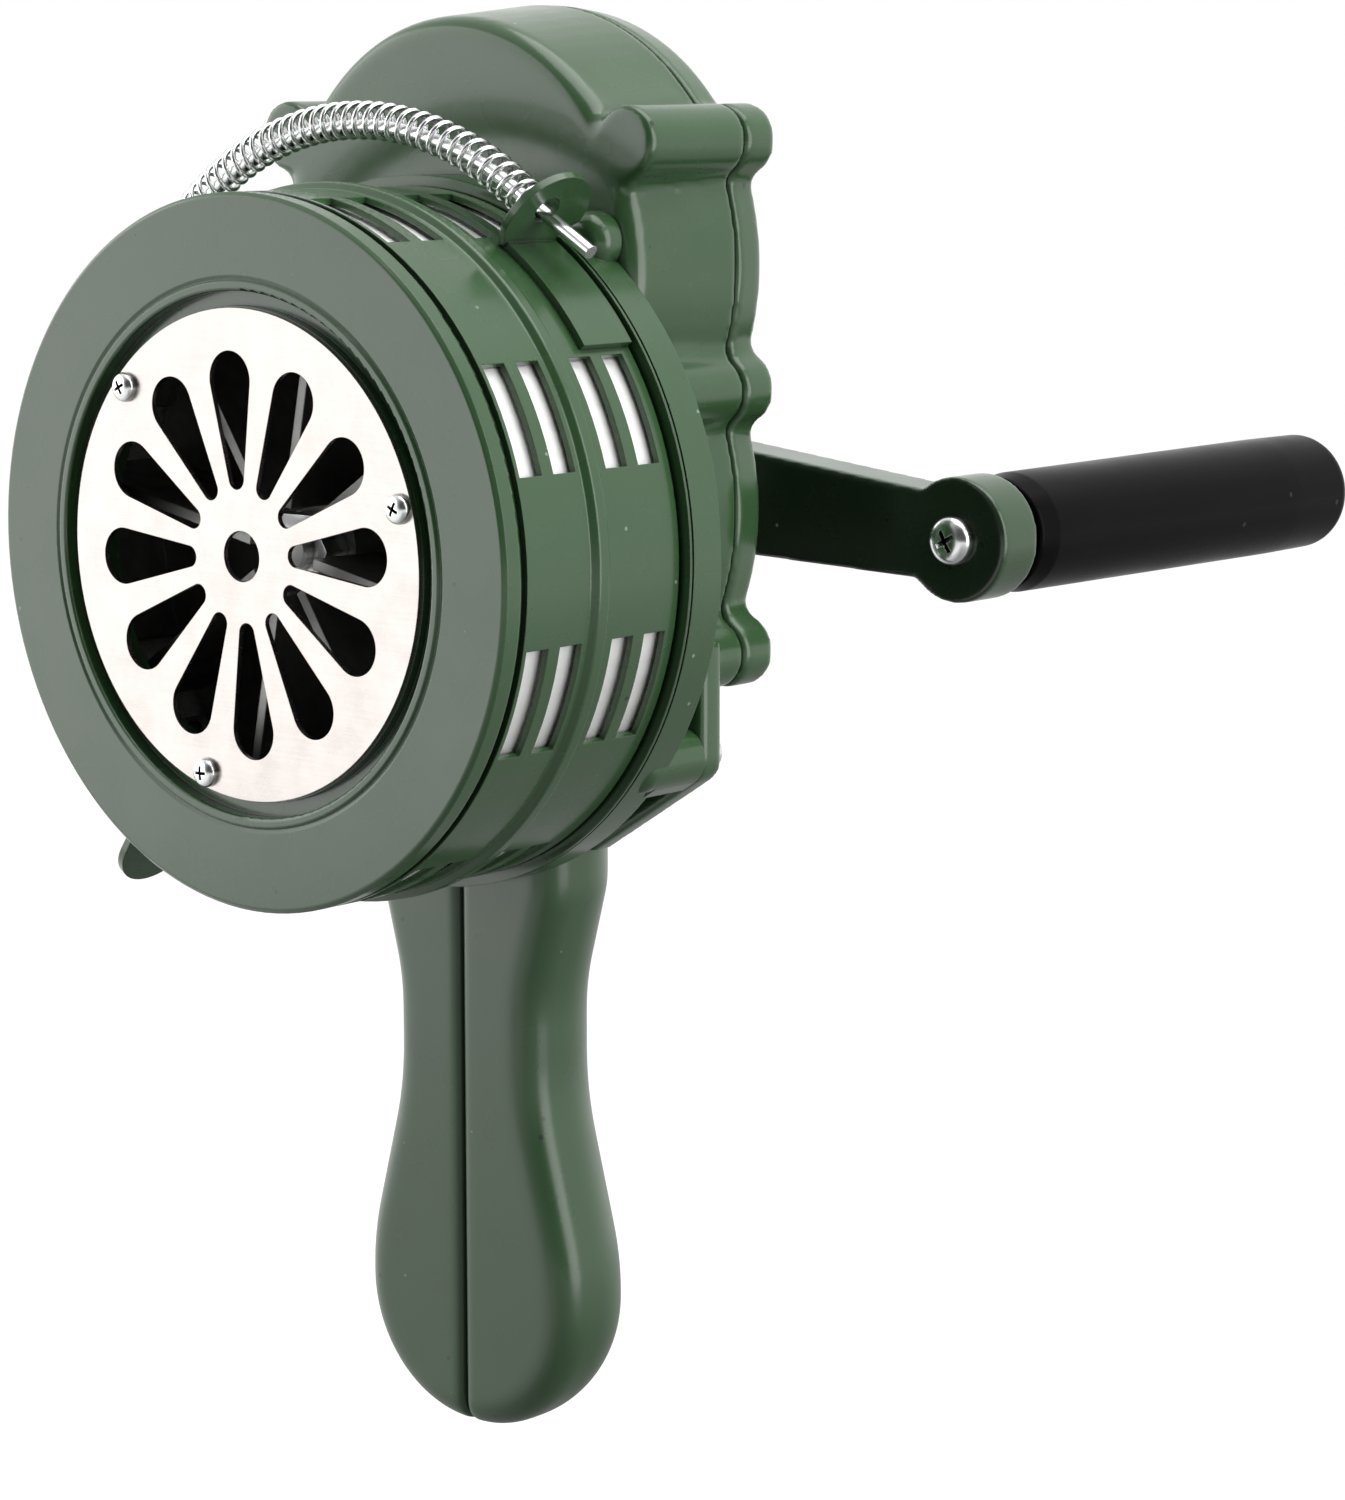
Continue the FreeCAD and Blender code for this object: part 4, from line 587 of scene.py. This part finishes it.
def screw_set(node, body, facing, head_height, shank_share=SHANK_SHARE):
    """Domed cross-recess screws in place of a node's plain ones; facing is where their heads point."""
    facing = Vector(facing)
    axis = max(range(3), key=lambda index: abs(facing[index]))
    side = (axis + 1) % 3
    joined = bmesh.new()
    for number, (low, high) in enumerate(solid_boxes(node)):
        radius = (high[side] - low[side]) / 2
        mesh = screw_mesh(radius, head_height, radius * shank_share, high[axis] - low[axis] - head_height)
        seat = (low + high) / 2
        seat[axis] = high[axis] - head_height if facing[axis] > 0 else low[axis] + head_height
        own_turn = Matrix.Rotation(FIRST_TURN + NEXT_TURN * number, 4, "Z")
        turn = facing.to_track_quat("Z", "Y").to_matrix().to_4x4() @ own_turn
        mesh.transform(Matrix.Translation(seat) @ turn)
        joined.from_mesh(mesh)
    mesh = bpy.data.meshes.new("cross_" + node)
    joined.to_mesh(mesh)
    joined.free()
    add_piece("cross_" + node, mesh, MATERIALS[SLOTS[node]], body, [node])
    mesh.set_sharp_from_angle(angle=CREASE_ANGLE)


def add_screws():
    screw_set("grille_screws", "frame", FORWARD, SMALL_HEAD)
    screw_set("upper_flange_screws", "frame", BACKWARD, LARGE_HEAD)
    screw_set("lower_flange_screws", "frame", BACKWARD, LARGE_HEAD)
    screw_set("cover_screws", "frame", BACKWARD, LARGE_HEAD)
    screw_set("handle_screws", "frame", LEFTWARD, LARGE_HEAD)
    screw_set("crank_screw", "crank", BACKWARD, CRANK_HEAD)
    screw_set("grip_spindle", "crank", FORWARD, SPINDLE_HEAD, SPINDLE_SHANK_SHARE)


# ---------------------------------------------------------------- spring

def rod_point(way):
    """Place and outward direction of the rod's centre line at a distance along it from its anchor."""
    bent = ROD_BEND * (ROD_STRAIGHT - ROD_START)
    angle = min(ROD_START + way / ROD_BEND, ROD_STRAIGHT)
    outward = Vector((math.sin(angle), 0, math.cos(angle)))
    onward = Vector((math.cos(angle), 0, -math.sin(angle)))
    return Vector(ROD_CENTRE) + outward * ROD_BEND + onward * max(way - bent, 0), outward


def spring_span():
    """Distances along the rod at which the spring's line starts and ends, inside the CAD spring."""
    bent = ROD_BEND * (ROD_STRAIGHT - ROD_START)
    corner = rod_point(bent)[0]
    onward = Vector((math.cos(ROD_STRAIGHT), 0, -math.sin(ROD_STRAIGHT)))
    tail = max((vert.co - corner).dot(onward) for vert in NODES["shutter_spring"].data.vertices)
    return SPRING_GAP + SPRING_WIRE / 2, bent + tail - SPRING_WIRE / 2


def spring_points(coil, first, last):
    """Points of the wire's line, wound at the radius coil, with closed ends and a bow between them."""
    closed = SPRING_WIRE * SPRING_CLOSED
    points = []
    for step in range(SPRING_TURNS * STEPS_PER_TURN + 1):
        turns = step / STEPS_PER_TURN
        open_turns = min(max(turns - SPRING_CLOSED, 0), SPRING_TURNS - 2 * SPRING_CLOSED)
        way = first + (turns - open_turns) / SPRING_CLOSED * closed
        way += open_turns / (SPRING_TURNS - 2 * SPRING_CLOSED) * (last - first - 2 * closed)
        middle, outward = rod_point(way)
        bow = SPRING_BOW * math.sin(math.pi * (way - first) / (last - first))
        sideways = Vector((0, coil * math.sin(2 * math.pi * turns), 0))
        points.append(middle + outward * (bow + coil * math.cos(2 * math.pi * turns)) + sideways)
    return points


def add_spring():
    """A wound compression spring with closed ends, round the rod and bowed a little off it."""
    low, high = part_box("shutter_spring")
    first, last = spring_span()
    points = spring_points((high.y - low.y) / 2 - SPRING_WIRE / 2, first, last)
    curve = bpy.data.curves.new("spring", "CURVE")
    curve.dimensions = "3D"
    curve.bevel_depth = SPRING_WIRE / 2
    curve.bevel_resolution = WIRE_RESOLUTION
    curve.use_fill_caps = True
    line = curve.splines.new("POLY")
    line.points.add(len(points) - 1)
    for point, place in zip(line.points, points):
        point.co = (*place, 1)
    mesh = evaluated_mesh(scratch_object(curve))
    made = add_piece("wound_spring", mesh, MATERIALS["zinc_steel"],
                     replaced=["shutter_spring"])
    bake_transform(made)


# ---------------------------------------------------------------- light, floor and camera

def add_lights():
    """Rectangular lamps, each facing the target."""
    for name, (direction, distance, width, height, radiance) in LAMPS.items():
        direction = Vector(direction).normalized()
        lamp = bpy.data.lights.new(name, "AREA")
        lamp.shape = "RECTANGLE"
        lamp.size = width
        lamp.size_y = height
        lamp.energy = radiance * math.pi * width * height
        made = bpy.data.objects.new(name, lamp)
        made.location = Vector(LAMP_TARGET) + direction * distance
        made.rotation_euler = (-direction).to_track_quat("-Z", "Y").to_euler()
        bpy.context.scene.collection.objects.link(made)


def ray_kinds(tree):
    """1 for the camera's own rays, and 1 for the rays that gloss or glass sends on."""
    path = add_node(tree, "LightPath").outputs
    mirrored = calculate(tree, "MAXIMUM", path["Is Glossy Ray"], path["Is Transmission Ray"])
    return path["Is Camera Ray"], mirrored


def add_world():
    """White to the camera and in reflections, but for the dim room in front; a soft fill for the rest."""
    world = bpy.data.worlds.new("studio")
    world.use_nodes = True
    tree = world.node_tree
    shader = tree.nodes["Background"]
    direct, mirrored = ray_kinds(tree)
    towards = dot_product(tree, add_node(tree, "TexCoord").outputs["Generated"], DIM_SIDE)
    reflected = ramp(tree, towards, 0.0, DIM_FULL, 1.0, DIM_LEVEL)
    strength = add_node(tree, "Mix", {"Factor": mirrored, "A": WORLD_FILL, "B": reflected}).outputs["Result"]
    feed(tree, shader.inputs["Color"], WHITE)
    feed(tree, shader.inputs["Strength"], calculate(tree, "MAXIMUM", strength, direct))
    bpy.context.scene.world = world


def floor_material():
    """It glows white to the camera and in reflections, and its own grey takes the siren's shadow."""
    material, tree, shader, place = start_material("floor", Roughness=FLOOR_ROUGHNESS, Specular_IOR_Level=0.0)
    direct, mirrored = ray_kinds(tree)
    away = add_node(tree, "VectorMath", {0: place}, operation="LENGTH").outputs["Value"]
    towards = dot_product(tree, place, KEY_SIDE)
    bright = calculate(tree, "MAXIMUM", ramp(tree, away, MIRROR_NEAR, MIRROR_FAR, MIRROR_DIM, 1.0),
                       ramp(tree, towards, 0.0, MIRROR_NEAR, MIRROR_DIM, 1.0))
    reflected = calculate(tree, "MULTIPLY", mirrored, bright)
    shown = calculate(tree, "MULTIPLY", direct, ramp(tree, away, GLOW_NEAR, GLOW_FAR, FLOOR_GLOW, 1.0))
    feed(tree, shader.inputs["Base Color"], FLOOR_COLOUR)
    feed(tree, shader.inputs["Emission Color"], WHITE)
    feed(tree, shader.inputs["Emission Strength"], calculate(tree, "MAXIMUM", shown, reflected))
    return material


def add_floor():
    """A plain floor under the handle, which keeps the siren's soft shadow."""
    height = cad_box[0].z - FLOOR_DROP
    corners = [(x * FLOOR_HALF, y * FLOOR_HALF, height) for x, y in ((-1, -1), (1, -1), (1, 1), (-1, 1))]
    mesh = bpy.data.meshes.new("floor")
    mesh.from_pydata(corners, [], [(0, 1, 2, 3)])
    mesh.materials.append(floor_material())
    floor = bpy.data.objects.new("floor", mesh)
    bpy.context.scene.collection.objects.link(floor)


def add_camera():
    data = bpy.data.cameras.new("camera")
    data.lens = CAMERA_LENS
    data.sensor_width = CAMERA_SENSOR
    data.clip_start = CAMERA_CLIP_START
    data.clip_end = CAMERA_CLIP_END
    camera = bpy.data.objects.new("camera", data)
    camera.location = CAMERA_PLACE
    camera.rotation_euler = (math.radians(90 + CAMERA_PITCH), 0, math.radians(CAMERA_HEADING))
    bpy.context.scene.collection.objects.link(camera)
    bpy.context.scene.camera = camera
    bpy.context.scene.view_settings.view_transform = "Standard"


add_camera()
dress_nodes()
add_castings()
add_screws()
add_spring()
add_lights()
add_world()
add_floor()
